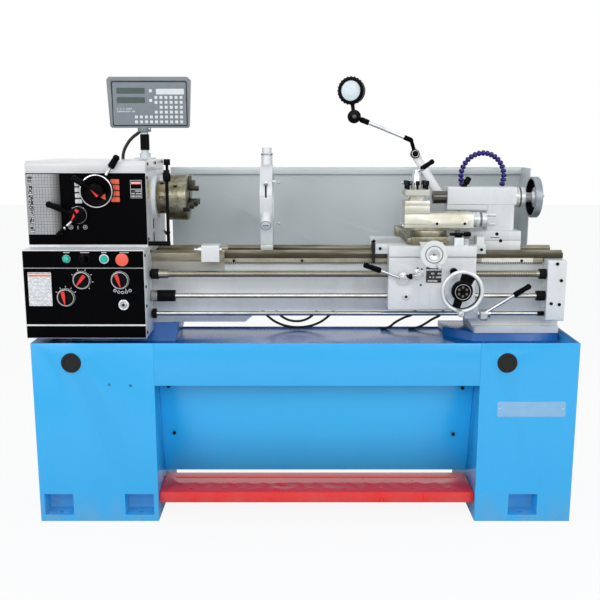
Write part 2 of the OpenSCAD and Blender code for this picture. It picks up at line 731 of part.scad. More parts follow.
// A stepped jaw; jaw 1 points up and the others follow round the chuck
module jaw(i) {
    tip = jaw_w / 2 / tan(60);
    x0 = chuck_x1 - jaw_depth + slide_fit;
    color("sienna") translate([0, spindle_y, spindle_z]) rotate([120 * i, 0, 0]) intersection() {
        translate([x0, 0, 0]) rotate([0, 90, 0]) linear_extrude(jaw_depth + jaw_reach)
            polygon([[-jaw_open, 0], [-jaw_open - tip, -jaw_w / 2], [-chuck_r, -jaw_w / 2],
                [-chuck_r, jaw_w / 2], [-jaw_open - tip, jaw_w / 2]]);
        section_y(-jaw_w, jaw_w) polygon([[x0, 0], [x0, chuck_r - 4], [chuck_x1 + 9, chuck_r - 4],
            [chuck_x1 + 9, chuck_r - 20], [chuck_x1 + 21, chuck_r - 20], [chuck_x1 + 21, chuck_r - 40],
            [chuck_x1 + jaw_reach, chuck_r - 40], [chuck_x1 + jaw_reach, 0]]);
    }
}
module jaw_1() jaw(0);
module jaw_2() jaw(1);
module jaw_3() jaw(2);

// The arm of the chuck guard: it swings forward on a pin in the side of the headstock
module guard_post() {
    x = head_x1 + 68;
    y = head_y0 + 14;
    z = way_z + 30;
    color("black") {
        along_x(head_x1 - 18, head_x1 + slide_fit + eps, y, z, 6);
        along_x(head_x1 + slide_fit, x + 6, y, z, 8);
        block([x - 5, y - 5, z], [x + 5, y + 5, z + 228]);
        block([x - 9, y - 9, z + 214], [x + 9, y + 9, z + 246]);
        along_z(z + 246, z + 270, x + 2, y, 5);
        along_z(z + 262, z + 282, x + 2, y, 11);
        along_y(y - 18, y - 4, x, z + 38, 8);
    }
}

// A hand lever seen from the front: a hub and a grip at an angle above the X axis
module lever_arm(angle, a, grip_a, grip_b, y, arm_r, grip_r) {
    translate([0, y, 0]) rotate([0, -angle, 0]) {
        color("silver") along_x(a, grip_a + 4, 0, 0, arm_r);
        color("black") grip(grip_a, grip_b, grip_r);
    }
}

module speed_lever() {
    y = head_y0 - slide_fit;
    translate([upper_x, 0, upper_z]) {
        color("silver") difference() {
            union() {
                along_y(y - 10, y, 0, 0, 55);
                along_y(y - 20, y - 10 + eps, 0, 0, 55);
                along_y(y - eps, head_y0 + casting_t - 2, 0, 0, hub_pin_r);
            }
            along_y(y - 21, y - 10, 0, 0, 44);
            along_y(y - 21, head_y0 + casting_t, 0, 0, pin_r + run_fit);
        }
        lever_arm(57, 50, 90, 138, y - 13, 5, 12);
    }
}

module range_lever() {
    y = head_y0 - slide_fit - 10 - slide_fit;
    translate([upper_x, 0, upper_z]) {
        color("silver") along_y(y - 20, y, 0, 0, 25);
        color("silver") along_y(y - eps, head_y0 + casting_t - 4, 0, 0, pin_r);
        lever_arm(148, 15, 38, 86, y - 23, 4, 11);
        color("crimson") translate([0, y - 20, 0]) rotate([0, 38, 0]) block([-16, -4, -4], [16, eps, 4]);
    }
}

module reverse_lever() {
    y = head_y0 - slide_fit;
    translate([lower_x, 0, lower_z]) {
        color("silver") difference() {
            union() {
                along_y(y - 16, y, 0, 0, 29);
                along_y(y - eps, head_y0 + casting_t - 2, 0, 0, hub_pin_r);
            }
            along_y(y - 21, head_y0 + casting_t, 0, 0, pin_r + run_fit);
        }
        lever_arm(222, 22, 66, 104, y - 8, 4.5, 7);
    }
}

module thread_lever() {
    y = head_y0 - 2 * slide_fit - 16;
    translate([lower_x, 0, lower_z]) {
        color("silver") along_y(y - 18, y, 0, 0, 27);
        color("silver") along_y(y - eps, head_y0 + casting_t - 4, 0, 0, pin_r);
        lever_arm(159, 18, 54, 108, y - 9, 5, 11);
        color("crimson") translate([0, y - 18, 0]) rotate([0, 58, 0]) block([-18, -4, -4], [18, eps, 4]);
    }
}

// A pointer knob on the face of the gearbox, its pointer turned from upright
module dial(i, turn) {
    y = gearbox_y0 - slide_fit;
    translate([dial_spots[i][0], 0, dial_spots[i][1]]) rotate([0, turn, 0]) {
        color("black") {
            along_y(y - 8, y, 0, 0, 28);
            cone_y(y - 8, y - 16, 0, 0, 24, 20);
            along_y(y - eps, gearbox_y0 + 12, 0, 0, dial_pin_r);
        }
        color("crimson") block([-5, y - 28, -19], [5, y - 15, 23]);
    }
}
module dial_1() dial(0, 38);
module dial_2() dial(1, -8);
module dial_3() dial(2, -17);

module mode_switch() {
    y = gearbox_y0 - slide_fit;
    color("black") translate([switch_x, 0, button_z]) {
        along_y(y - 8, y, 0, 0, 15);
        block([-4, y - 20, -13], [4, y - 7, 13]);
        along_y(y - eps, gearbox_y0 + 12, 0, 0, dial_pin_r);
    }
}

module start_button() {
    color("seagreen") along_y(gearbox_y0 - 9, gearbox_y0 + 11, start_x, button_z, button_r);
}

module stop_button() {
    y = gearbox_y0 - 5;
    color("tomato") {
        along_y(y - 9, y + 16, stop_x, button_z, button_r);
        cone_y(y - 9, y - 16, stop_x, button_z, button_r, button_r + 9);
        along_y(y - 22, y - 16, stop_x, button_z, button_r + 9);
    }
}

// ---- Guard and steady rest ----
module splash_guard() {
    lip = 14;
    wing_y = bed_y1 - 6;
    color("lightslategray") {
        block([guard_x0, guard_y, guard_z0], [guard_x1, guard_y + sheet, guard_z1]);
        block([guard_x0, guard_y - lip, guard_z1 - sheet], [guard_x1, guard_y, guard_z1]);
        block([guard_x0, guard_y - lip, guard_z1 - 26], [guard_x1, guard_y - lip + sheet, guard_z1]);
        section_x(guard_x1 - sheet, guard_x1) polygon([[wing_y, flat_z + 10], [guard_y + sheet, guard_z0],
            [guard_y + sheet, guard_z1], [wing_y, guard_z1]]);
        for (x = [guard_x0 + 60, (guard_x0 + guard_x1) / 2, guard_x1 - 120])
            section_y(bed_y1 - 16, guard_y) polygon([[x, guard_z0 + 30], [x + 30, guard_z0 + 30],
                [x + 30, guard_z0 + 60],
                [x + 30 - sheet, guard_z0 + 60], [x + 30 - sheet, guard_z0 + 30 + sheet], [x,
                    guard_z0 + 30 + sheet]]);
    }
}

// The underside of whatever slides on the flats, with a groove over the vee at y
vee_gap = 1.3 * slide_fit;
vee_reach = vee_w / 2 * (1 + (vee_gap - slide_fit) / vee_h);
function groove(y) = [[y - vee_reach, flat_z + slide_fit], [y, way_z + vee_gap], [y + vee_reach,
    flat_z + slide_fit]];

// A foot that rests on the inner ways, from the front flat to the rear vee
module inner_foot(x0, x1, top) {
    section_x(x0, x1) polygon(concat([[tail_y0, top], [tail_y0, flat_z + slide_fit]], groove(rear_vee_y),
        [[tail_y1, flat_z + slide_fit], [tail_y1, top]]));
}

// The clamp plate that grips the rails from below, on its stem between them
module clamp_plate(x0, x1) {
    y0 = bed_y0 + rail_w;
    y1 = bed_y1 - rail_w;
    mid = (x0 + x1) / 2;
    block([x0, y0 - 12, rail_z - 15], [x1, y1 + 12, rail_z - slide_fit]);
    block([mid - 14, y0 + 6, rail_z - 12], [mid + 14, y1 - 6, way_z + eps]);
}

steady_out_r = steady_ring_r + steady_wall;
steady_hinge_y = spindle_y + steady_out_r + 14;
steady_hinge_z = spindle_z + 8;
steady_pin_r = 6;

module steady_finger(angle, knob_r) {
    translate([steady_cx, spindle_y, spindle_z]) rotate([angle, 0, 0]) {
        along_z(48, steady_out_r + 22, 0, 0, 9);
        along_z(steady_out_r - 6, steady_out_r + 30, 0, 0, 20);
        along_z(steady_out_r + 30, steady_out_r + 56, 0, 0, knob_r);
    }
}

module steady_ring_half(z0, z1) {
    section_x(steady_x0, steady_x0 + steady_t) intersection() {
        difference() {
            translate([spindle_y, spindle_z]) circle(steady_out_r, $fn = 96);
            translate([spindle_y, spindle_z]) circle(steady_ring_r, $fn = 96);
        }
        translate([spindle_y - steady_out_r - eps, z0]) square([2 * steady_out_r + 2 * eps, z1 - z0]);
    }
}

module steady_frame() {
    split = steady_hinge_z - slide_fit;
    x1 = steady_x0 + steady_t;
    ear = steady_t / 3;
    color("gainsboro") {
        steady_ring_half(spindle_z - steady_out_r, split);
        difference() {
            section_x(steady_x0, x1) polygon([[tail_y0 + 4, way_z], [tail_y1 - 4, way_z],
                [spindle_y + steady_out_r - 6, spindle_z], [spindle_y - steady_out_r + 6, spindle_z]]);
            along_x(steady_x0 - eps, x1 + eps, spindle_y, spindle_z, steady_ring_r + 4);
        }
        inner_foot(steady_x0, x1, way_z + 14);
        clamp_plate(steady_x0, x1);
        for (a = [120, -120]) steady_finger(a, 20);
        for (x = [steady_x0, x1 - ear + slide_fit]) {
            along_x(x, x + ear - slide_fit, steady_hinge_y, steady_hinge_z, steady_pin_r + 7);
            block([x, steady_hinge_y - 30, split - 40], [x + ear - slide_fit, steady_hinge_y + 6, split]);
        }
        along_x(steady_x0, x1, steady_hinge_y, steady_hinge_z, steady_pin_r);
    }
}

module steady_top() {
    z0 = steady_hinge_z + slide_fit;
    ear = steady_t / 3;
    color("gainsboro") {
        steady_ring_half(z0, spindle_z + steady_out_r + eps);
        steady_finger(0, 17);
        difference() {
            union() {
                along_x(steady_x0 + ear, steady_x0 + 2 * ear, steady_hinge_y, steady_hinge_z,
                    steady_pin_r + 7);
                block([steady_x0 + ear, steady_hinge_y - 40, z0], [steady_x0 + 2 * ear, steady_hinge_y,
                    z0 + 13]);
            }
            along_x(steady_x0, steady_x0 + steady_t, steady_hinge_y, steady_hinge_z,
                steady_pin_r + run_fit);
            along_x(steady_x0, steady_x0 + steady_t, spindle_y, spindle_z, steady_ring_r);
        }
        along_x(steady_x0 + steady_t - eps, steady_x0 + steady_t + 14, spindle_y - steady_out_r + 14,
            spindle_z + 60, 4);
    }
}

// ---- Carriage ----
bridge_x0 = main_x0 + 59;
bridge_x1 = main_x0 + 259;
saddle_y0 = apron_y0 + 2;
saddle_y1 = bed_y1 + 40;
shaft_r = 8;
lever_x = main_x0 + 47;
lever_z = seam_z - 71;
lock_x = swivel_x + cross_w / 2 + 33;
lock_y = -50;
lamp_pin_r = 10;
cross_screw_r = 8;

// The outline of the saddle over the front way, out to y0 in front and y1 behind
function front_ride(y0, z0, y1, top) = concat([[y0, z0], [bed_y0 - slide_fit, z0], [bed_y0 - slide_fit,
    flat_z + slide_fit]],
    groove(front_vee_y), [[y1, flat_z + slide_fit], [y1, top], [y0, top]]);

// A dovetail w wide at its foot and h high, along Y or X, grown by c all round
module tail_y(y0, y1, x, z, w, h, c) {
    section_y(y0, y1) polygon([[x - w / 2 - c, z - eps], [x + w / 2 + c, z - eps],
        [x + w / 2 + h / 2 + 1.2 * c, z + h + c], [x - w / 2 - h / 2 - 1.2 * c, z + h + c]]);
}
module tail_x(x0, x1, y, z, w, h, c) {
    section_x(x0, x1) polygon([[y - w / 2 - c, z - eps], [y + w / 2 + c, z - eps],
        [y + w / 2 + h / 2 + 1.2 * c, z + h + c], [y - w / 2 - h / 2 - 1.2 * c, z + h + c]]);
}

module saddle() {
    x0 = main_x0 - wing_l;
    x1 = main_x1 + wing_l;
    rear_y = rear_vee_y + vee_w / 2 + 6;
    color("whitesmoke") difference() {
        union() {
            section_x(main_x0, main_x1) polygon(front_ride(saddle_y0, seam_z, front_vee_y + 12, saddle_z));
            section_x(x0, x1) polygon(front_ride(bed_y0 - 26, flat_z, front_vee_y + 12, saddle_z));
            section_x(bridge_x0, bridge_x1) polygon(concat([[front_vee_y + 11, saddle_z],
                [front_vee_y + 11, flat_z + slide_fit]], groove(rear_vee_y), [[rear_y + eps,
                    flat_z + slide_fit],
                [rear_y + eps, saddle_z]]));
            section_x(x0, x1) polygon([[rear_y, flat_z + slide_fit], [bed_y1 + slide_fit,
                flat_z + slide_fit],
                [bed_y1 + slide_fit, rail_z - slide_fit], [bed_y1 - 12, rail_z - slide_fit],
                    [bed_y1 - 12, rail_z - 14],
                [saddle_y1, rail_z - 14], [saddle_y1, saddle_z - 6], [saddle_y1 - 6, saddle_z], [rear_y,
                    saddle_z]]);
            tail_y(saddle_y0 + 2, saddle_y1 - 2, swivel_x, saddle_z, 66, 12, 0);
            along_y(apron_y0 - 20, saddle_y0 + eps, cross_wheel_x, cross_wheel_z, 14);
            block([lock_x - 15, lock_y - 14, saddle_z - eps], [lock_x + 16, lock_y + 14, saddle_z + 26]);
            block([main_x1 + 11, bed_y0 - 20, saddle_z - eps], [main_x1 + 36, front_vee_y + 6,
                saddle_z + 26]);
            block([lamp_base_x - 22, lamp_y - 19, saddle_z - 30], [lamp_base_x + 22, lamp_y + 19,
                saddle_z + 16]);
        }
        along_y(apron_y0 - 21, saddle_y0 + 46, cross_wheel_x, cross_wheel_z, cross_screw_r + run_fit);
        along_z(saddle_z - 16, saddle_z + 27, lock_x, lock_y, 6 + run_fit);
        along_z(saddle_z - 30, saddle_z + 17, lamp_base_x, lamp_y, lamp_pin_r + run_fit);
    }
}

module apron() {
    z0 = seam_z - apron_h;
    lug_z = control_z - 15;
    color("whitesmoke") difference() {
        union() {
            section_y(apron_y0, apron_y1) rounded([main_x0, z0], [main_x1, seam_z - 6], 6);
            section_y(apron_y0 + 2, apron_y1) polygon([[main_x0, seam_z - 12], [main_x1, seam_z - 12],
                [main_x1, seam_z], [main_x0, seam_z]]);
            block([main_x1 - 26, rod_y - 15, lug_z], [main_x1 + 18, rod_y + 15, z0 + 12]);
            along_y(apron_y0 - 5, apron_y0 + eps, lever_x + 52, seam_z - 57, 18);
            along_y(apron_y0 - 30, apron_y0, lever_x + 52, seam_z - 57, 8);
            translate([lever_x + 24, apron_y0 - 30, seam_z - 61]) sphere(10);
            along_x(lever_x + 24, lever_x + 52, apron_y0 - 26, seam_z - 59, 4);
            along_y(apron_y0 - 3, apron_y0 + eps, main_x0 + 60, seam_z - 135, 13);
            along_y(apron_y0 - 22, apron_y0 + eps, main_x0 + 216, seam_z - 47, 6);
            along_y(apron_y0 - 26, apron_y0 - 10, main_x0 + 216, seam_z - 47, 13);
            section_y(apron_y0 - 8, apron_y0 + eps) rounded([main_x0 + 143, z0 + 3], [main_x0 + 197,
                z0 + 85], 14);
            along_y(apron_y0 - 8, apron_y0 + eps, carriage_wheel_x, carriage_wheel_z, 44);
        }
        along_y(apron_y0 - 9, apron_y0 + 40, carriage_wheel_x, carriage_wheel_z, shaft_r + 2 + run_fit);
        along_y(apron_y0 - eps, apron_y0 + 20, lever_x, lever_z, shaft_r + run_fit);
        along_x(main_x0 - eps, main_x1 + eps, rod_y, screw_z, screw_r + 1);
        along_x(main_x0 - eps, main_x1 + eps, rod_y, feed_z, feed_r + 1);
        along_x(main_x0 - eps, main_x1 + 19, rod_y, control_z, control_r + 1);
        along_y(apron_y0 - 4, apron_y0 - 1, main_x0 + 60, seam_z - 135, 9);
    }
}

// A wheel's rim and its web, centred on the Y axis with its front at y
module rim(y, r, w, web_r) {
    translate([0, y, 0]) rotate([-90, 0, 0]) rotate_extrude($fn = 72) polygon([[r - w, 3], [r - w + 3,
        0], [r - 3, 0],
        [r, 3], [r, w - 2], [r - 2, w], [r - w + 2, w], [r - w, w - 2]]);
    if (web_r > 0) along_y(y + 4, y + 9, 0, 0, web_r);
}

// A turned handle that stands out from a wheel towards the operator
module crank(y0, l, x, z, r) {
    color("silver") along_y(y0 - 8, y0 + 3, x, z, r / 2);
    color("black") translate([x, y0 - 8, z]) rotate([0, 0, -90]) grip(0, l, r);
}

module carriage_wheel() {
    y = carriage_wheel_y - 14;
    translate([carriage_wheel_x, 0, carriage_wheel_z]) {
        color("silver") {
            rim(y, carriage_wheel_r, 13, 0);
            along_y(y, apron_y0 + 36, 0, 0, shaft_r + 2);
            along_y(y + 16, apron_y0 - 8 - slide_fit, 0, 0, 36);
        }
        color("black") {
            along_y(y - 2, y + 17, 0, 0, 22);
            for (a = [28, 152, -90]) rotate([0, -a, 0])
                section_y(y + 2, y + 11) polygon([[12, -17], [carriage_wheel_r - 10, -8],
                    [carriage_wheel_r - 10, 8], [12, 17]]);
        }
        crank(y, 58, 0, -carriage_wheel_r + 8, 11);
    }
}

module cross_wheel() {
    y = cross_wheel_y;
    translate([cross_wheel_x, 0, cross_wheel_z]) {
        color("silver") {
            rim(y - 10, cross_wheel_r, 11, cross_wheel_r - 8);
            along_y(y - 1, y + 18, 0, 0, 13);
            along_y(y + 18, y + 52, 0, 0, 27);
            along_y(y + 52 - eps, apron_y0 - 20 - slide_fit, 0, 0, 31);
            along_y(y + 60, saddle_y0 + 44, 0, 0, cross_screw_r);
        }
        color("black") along_y(y - 12, y, 0, 0, 12);
        crank(y - 8, 44, 12, -cross_wheel_r + 12, 8);
    }
}

module apron_lever() {
    y = apron_y0 - slide_fit;
    translate([lever_x, 0, lever_z]) {
        color("silver") {
            along_y(y - 13, y, 0, 0, 21);
            along_y(y - 26, y - 12, 0, 0, 13);
            along_y(y - eps, apron_y0 + 18, 0, 0, shaft_r);
        }
        lever_arm(160, 8, 80, 142, y - 18, 5, 10);
    }
}

module control_lever() {
    x0 = main_x1 + 18 + slide_fit;
    y = rod_y - 40;
    color("silver") difference() {
        union() {
            along_x(x0, x0 + 44, rod_y, control_z, control_r + 7);
            block([x0 + 4, y - 8, control_z - 15], [x0 + 26, rod_y, control_z + 15]);
        }
        along_x(x0 - eps, x0 + 45, rod_y, control_z, control_r + run_fit);
    }
    translate([x0 + 15, y, control_z + 8]) rotate([0, -32, 0]) {
        color("silver") along_x(-4, 122, 0, 0, 6);
        color("black") grip(118, 182, 10);
    }
}

module saddle_lock() {
    z = saddle_z + 26 + slide_fit;
    color("black") {
        along_z(z - 36, z + eps, lock_x, lock_y, 6);
        along_z(z, z + 12, lock_x, lock_y, 12);
        translate([lock_x, lock_y, z + 10]) {
            along_x(-29, 40, 0, 0, 5);
            translate([18, 0, 0]) grip(0, 24, 9);
        }
    }
}

module cross_slide() {
    x0 = swivel_x - cross_w / 2;
    x1 = swivel_x + cross_w / 2;
    y0 = swivel_y - 65;
    y1 = y0 + cross_l;
    z0 = saddle_z + 0.5;
    color("gainsboro") difference() {
        block([x0, y0, z0], [x1, y1, cross_z]);
        tail_y(y0 - eps, y1 + eps, swivel_x, saddle_z, 66, 12, slide_fit);
        along_z(cross_z - 16, cross_z + eps, swivel_x, swivel_y, 14 + run_fit);
        for (x = [x0 + 24, x1 - 24]) {
            block([x - 4, swivel_y + 82, cross_z - 14], [x + 4, y1 + eps, cross_z + eps]);
            block([x - 8, swivel_y + 82, cross_z - 16], [x + 8, y1 + eps, cross_z - 8]);
        }
    }
    color("dimgray") {
        block([x0 - 12, y0 + 20, z0 + 6], [x0 + eps, y1 - 10, cross_z - 6]);
        block([x0 - 26, y1 - 60, z0 + 2], [x0 + eps, y1 - 22, cross_z + 8]);
        for (y = [y0 + 40 : 45 : y1 - 30]) along_x(x1 - eps, x1 + 3, y, z0 + 13, 4);
    }
}

module swivel_base() {
    half = top_w / 2 - 6;
    color("gainsboro") {
        along_z(cross_z + slide_fit, swivel_z, swivel_x, swivel_y, swivel_r);
        along_z(cross_z - 15, cross_z + 2, swivel_x, swivel_y, 14);
        block([swivel_x - 78, swivel_y - half, swivel_z - eps], [swivel_x + 105, swivel_y + half,
            top_z0 - slide_fit]);
        tail_x(swivel_x - 78, swivel_x + 105, swivel_y, top_z0 - slide_fit, 40, 12, 0);
    }
}

module top_slide() {
    y0 = swivel_y - top_w / 2;
    y1 = swivel_y + top_w / 2;
    color("gainsboro") {
        difference() {
            union() {
                section_x(top_x0, top_x1) polygon([[y0, top_z0], [y1, top_z0], [y1, top_z1 - 4],
                    [y1 - 4, top_z1],
                    [y0 + 4, top_z1], [y0, top_z1 - 4]]);
                block([post_x - post_w / 2, y0, top_z1 - eps], [post_x + post_w / 2, y1, post_z0]);
            }
            tail_x(top_x0 - eps, top_x1 + eps, swivel_y, top_z0 - slide_fit, 40, 12, slide_fit);
            along_x(top_x1 - 22, top_x1 + eps, swivel_y, top_z1 - 25, 7 + run_fit);
        }
        along_z(post_z0 - eps, post_z1 + 14, post_x, swivel_y, 12);
        for (x = [top_x0 + 110, top_x1 - 30]) along_y(y0 - 3, y0 + eps, x, top_z0 + 14, 5);
    }
}

module top_wheel() {
    x0 = top_x1 + slide_fit;
    z = top_z1 - 25;
    color("silver") {
        along_x(top_x1 - 20, x0 + eps, swivel_y, z, 7);
        along_x(x0, x0 + 8, swivel_y, z, 24);
        along_x(x0 + 8, x0 + 26, swivel_y, z, 26);
        along_x(x0 + 34, x0 + 50, swivel_y, z, 24);
    }
    color("black") along_x(x0 + 26 - eps, x0 + 34 + eps, swivel_y, z, 20);
    color("silver") for (side = [-1, 1]) {
        along_x(x0 + 50 - eps, x0 + 82, swivel_y - 6 * side, z + 16 * side, 3.5);
        translate([x0 + 56, swivel_y - 6 * side, z + 16 * side]) grip(0, 29, 6);
    }
}

// The four-way tool post, with three clamp screws over each of its slots
module tool_post() {
    h = post_w / 2;
    core = h - tool_slot_d;
    z0 = post_z0 + slide_fit;
    slot_z0 = post_z0 + 17;
    color("cornsilk") translate([post_x, swivel_y, 0]) difference() {
        block([-h, -h, z0], [h, h, post_z1]);
        difference() {
            block([-h - eps, -h - eps, slot_z0], [h + eps, h + eps, slot_z0 + tool_slot_h]);
            block([-core, -core, slot_z0 - eps], [core, core, slot_z0 + tool_slot_h + eps]);
        }
        along_z(post_z0 - eps, post_z1 + eps, 0, 0, 12 + run_fit);
    }
    color("black") translate([post_x, swivel_y, 0]) for (a = [0 : 90 : 270], u = [-30, 0]) rotate(a) {
        along_z(slot_z0 + tool_slot_h - 5, post_z1 + 22, u, -h + 9, 4);
        translate([u - 6, -h + 3, post_z1 + 14]) cube([12, 12, 15]);
    }
}

module post_handle() {
    z = post_z1 + slide_fit;
    color("silver") difference() {
        translate([post_x, swivel_y, z]) rotate_extrude() polygon([[0, 0], [19, 0], [19, 12], [14.5,
            46], [11, 56],
            [11, 64], [0, 64]]);
        along_z(z - eps, post_z1 + 15, post_x, swivel_y, 12 + run_fit);
    }
    translate([post_x, swivel_y - 6, z + 58]) rotate([0, -34, 0]) {
        color("silver") along_x(-2, 18, 0, 0, 5);
        color("black") grip(14, 68, 9);
    }
}

// ---- Tailstock ----
quill_l = quill_out + 167;
tail_shaft_r = 9;
body_x = barrel_x0 + 138;
lock_top = spindle_z + barrel_r + 3;
module tailstock() {
    y0 = spindle_y - barrel_r - 2;
    y1 = spindle_y + barrel_r + 2;
    color("whitesmoke") difference() {
        union() {
            inner_foot(tail_x0, tail_x1, way_z + 31);
            block([tail_x0, tail_y0 + 3, way_z + 30], [tail_x1, tail_y1 - 3, way_z + 33]);
            section_x(tail_x0, tail_x1) polygon([[tail_y0, way_z + 32], [tail_y1, way_z + 32], [tail_y1,
                way_z + 59],
                [tail_y1 - 4, way_z + 63], [tail_y0 + 4, way_z + 63], [tail_y0, way_z + 59]]);
            clamp_plate(tail_x0 + 20, tail_x1 - 20);
            section_z(way_z + 62, spindle_z) rounded([body_x, y0 + 2], [barrel_x1 - 3, y1 - 2], 8);
            section_x(barrel_x0, barrel_x1) rounded([y0, spindle_z - 25], [y1, lock_top], 5);
            section_x(barrel_x0, body_x + 10) rounded([y0 + 5, spindle_z - 46], [y1 - 5,
                spindle_z - 20], 8);
        }
        along_x(barrel_x0 - eps, barrel_x1 - 15, spindle_y, spindle_z, quill_r + run_fit);
        along_x(barrel_x1 - 16, barrel_x1 + eps, spindle_y, spindle_z, 14 + run_fit);
        along_z(spindle_z + quill_r + 3, lock_top + eps, barrel_x0 + 62, spindle_y, 6 + run_fit);
    }
}

module quill() {
    x0 = barrel_x0 - quill_out;
    color("silver") difference() {
        along_x(x0, x0 + quill_l, spindle_y, spindle_z, quill_r);
        along_x(x0 - eps, x0 + 90, spindle_y, spindle_z, socket_r);
        along_x(x0 + 110, x0 + quill_l + eps, spindle_y, spindle_z, tail_shaft_r + 2);
    }
}

module tail_wheel() {
    x0 = barrel_x1 + slide_fit;
    r = tail_wheel_r;
    translate([0, spindle_y, spindle_z]) color("silver") {
        along_x(barrel_x1 - 90, barrel_x1 - 14, 0, 0, tail_shaft_r);
        along_x(barrel_x1 - 15, x0 + eps, 0, 0, 14);
        along_x(x0, x0 + 34, 0, 0, barrel_r + 1);
        translate([x0, 0, 0]) rotate([0, 90, 0]) rotate_extrude($fn = 72) polygon([[0, 33], [18, 33],
            [16, 60], [22, 68],
            [r - 9, 75], [r - 9, 58], [r - 3, 57], [r, 60], [r, 80], [r - 3, 83], [r - 9, 82], [20, 74],
                [14, 80], [0, 80]]);
    }
    translate([x0 + 84, spindle_y, spindle_z]) rotate([0, 0, 90]) crank(0, 32, r - 10, 0, 7);
}

module quill_lock() {
    z = lock_top + slide_fit;
    color("black") translate([barrel_x0 + 62, spindle_y, 0]) {
        along_z(z - 11, z + eps, 0, 0, 6);
        along_z(z, z + 8, 0, 0, 11);
        translate([0, 0, z + 3]) rotate([0, -58, 0]) {
            along_x(0, 12, 0, 0, 6);
            grip(8, 34, 12);
        }
    }
}

// ---- Lamp, hose, readout and cables ----

// A tube between two places in (X, Z) at one Y
module strut(a, b, y, r) {
    d = b - a;
    translate([a[0], y, a[1]]) rotate([0, 90 - atan2(d[1], d[0]), 0]) cylinder(r = r, h = norm(d));
}

elbow = [elbow_x, elbow_z];
bend = elbow + [-16, 49];
knuckle = [knuckle_x, knuckle_z];
arm_t = 9;
joint_t = 14;
upper_y = lamp_y - arm_t - slide_fit - joint_t;
head_y = upper_y - slide_fit - joint_t;

module lamp_lower_arm() {
    z = saddle_z + 16 + slide_fit;
    a = [lamp_base_x, z + 14];
    d = (elbow - a) / norm(elbow - a) * 14;
    n = [-d[1], d[0]];
    color("whitesmoke") difference() {
        union() {
            along_z(z - 44, z + eps, lamp_base_x, lamp_y, lamp_pin_r);
            along_z(z, z + 26, lamp_base_x, lamp_y, 18);
            section_y(lamp_y - arm_t, lamp_y + arm_t) polygon([a + n, elbow + n, elbow - n, a - n]);
            along_y(lamp_y - arm_t, lamp_y + arm_t, elbow[0], elbow[1], 17);
        }
        along_y(lamp_y - 10, lamp_y + 10, elbow[0], elbow[1], 7 + run_fit);
    }
}

module lamp_upper_arm() {
    y = upper_y + joint_t / 2;
    d = (bend - knuckle) / norm(bend - knuckle);
    color("whitesmoke") difference() {
        union() {
            along_y(upper_y, upper_y + joint_t, elbow[0], elbow[1], 16);
            along_y(upper_y + joint_t - eps, lamp_y + 8, elbow[0], elbow[1], 7);
            strut(elbow, bend, y, 7);
            translate([bend[0], y, bend[1]]) sphere(8);
            strut(bend, bend - 28 * d, y, 9);
            strut(bend, knuckle, y, 7);
            strut(knuckle + 26 * d, knuckle + 58 * d, y, 10);
            along_y(upper_y, upper_y + joint_t, knuckle[0], knuckle[1], 22);
        }
        along_y(upper_y - eps, upper_y + joint_t + eps, knuckle[0], knuckle[1], 7 + run_fit);
    }
}

module lamp_head() {
    y = head_y + joint_t / 2;
    r = lamp_r;
    cx = knuckle[0] - 8;
    cz = knuckle[1] + 90;
    color("whitesmoke") {
        along_y(head_y, head_y + joint_t, knuckle[0], knuckle[1], 24);
        along_y(head_y + joint_t - eps, upper_y + joint_t - 1, knuckle[0], knuckle[1], 7);
        strut(knuckle, [cx, cz - r + 10], y, 7);
        translate([cx, y, cz]) rotate([90, 0, -20]) difference() {
            rotate_extrude() polygon([[0, -38], [18, -38], [26, -32], [r - 10, -24], [r - 5, -14],
                [r - 5, 6], [r, 8],
                [r, 20], [r - 3, 23], [0, 23]]);
            translate([0, 0, 17]) cylinder(r = r - 12, h = 10);
        }
    }
}

// The jointed coolant hose, a bead to every step, in an arc above the tailstock
hose_x = main_x1 + 72;
hose_z = way_z + 245;
hose_y = spindle_y + 110;
hose_r = 9;

module coolant_hose() {
    beads = 34;
    foot_x = hose_x - 82;
    arc = [for (i = [0 : 2 * beads]) let(a = 200 - 220 * i / (2 * beads)) [hose_x + 78 * cos(a),
        hose_z + 83 * sin(a)]];
    color("blueviolet") {
        along_z(saddle_z, saddle_z + 40, foot_x, hose_y, 12);
        swept(concat([for (i = [0 : 24]) [foot_x + i * (arc[0][0] - foot_x) / 25,
            saddle_z + 38 + i * (arc[0][1] - saddle_z - 38) / 25]], arc), hose_y,
            [for (i = [0 : 25 + 2 * beads]) hose_r - 2 * (i % 2)], 12);
        along_z(arc[2 * beads][1] - 34, arc[2 * beads][1] + 3, arc[2 * beads][0], hose_y, 5);
    }
}

module readout_post() {
    color("lightsteelblue") {
        block([readout_x - 34, readout_y - 30, lid_z], [readout_x + 34, readout_y + 30, lid_z + 5]);
        along_z(lid_z + 4, lid_z + 22, readout_x, readout_y, 20);
        along_z(lid_z + 4, readout_z - slide_fit, readout_x, readout_y, 14);
        along_z(lid_z + 4, readout_z + 18, readout_x, readout_y, 9);
    }
}

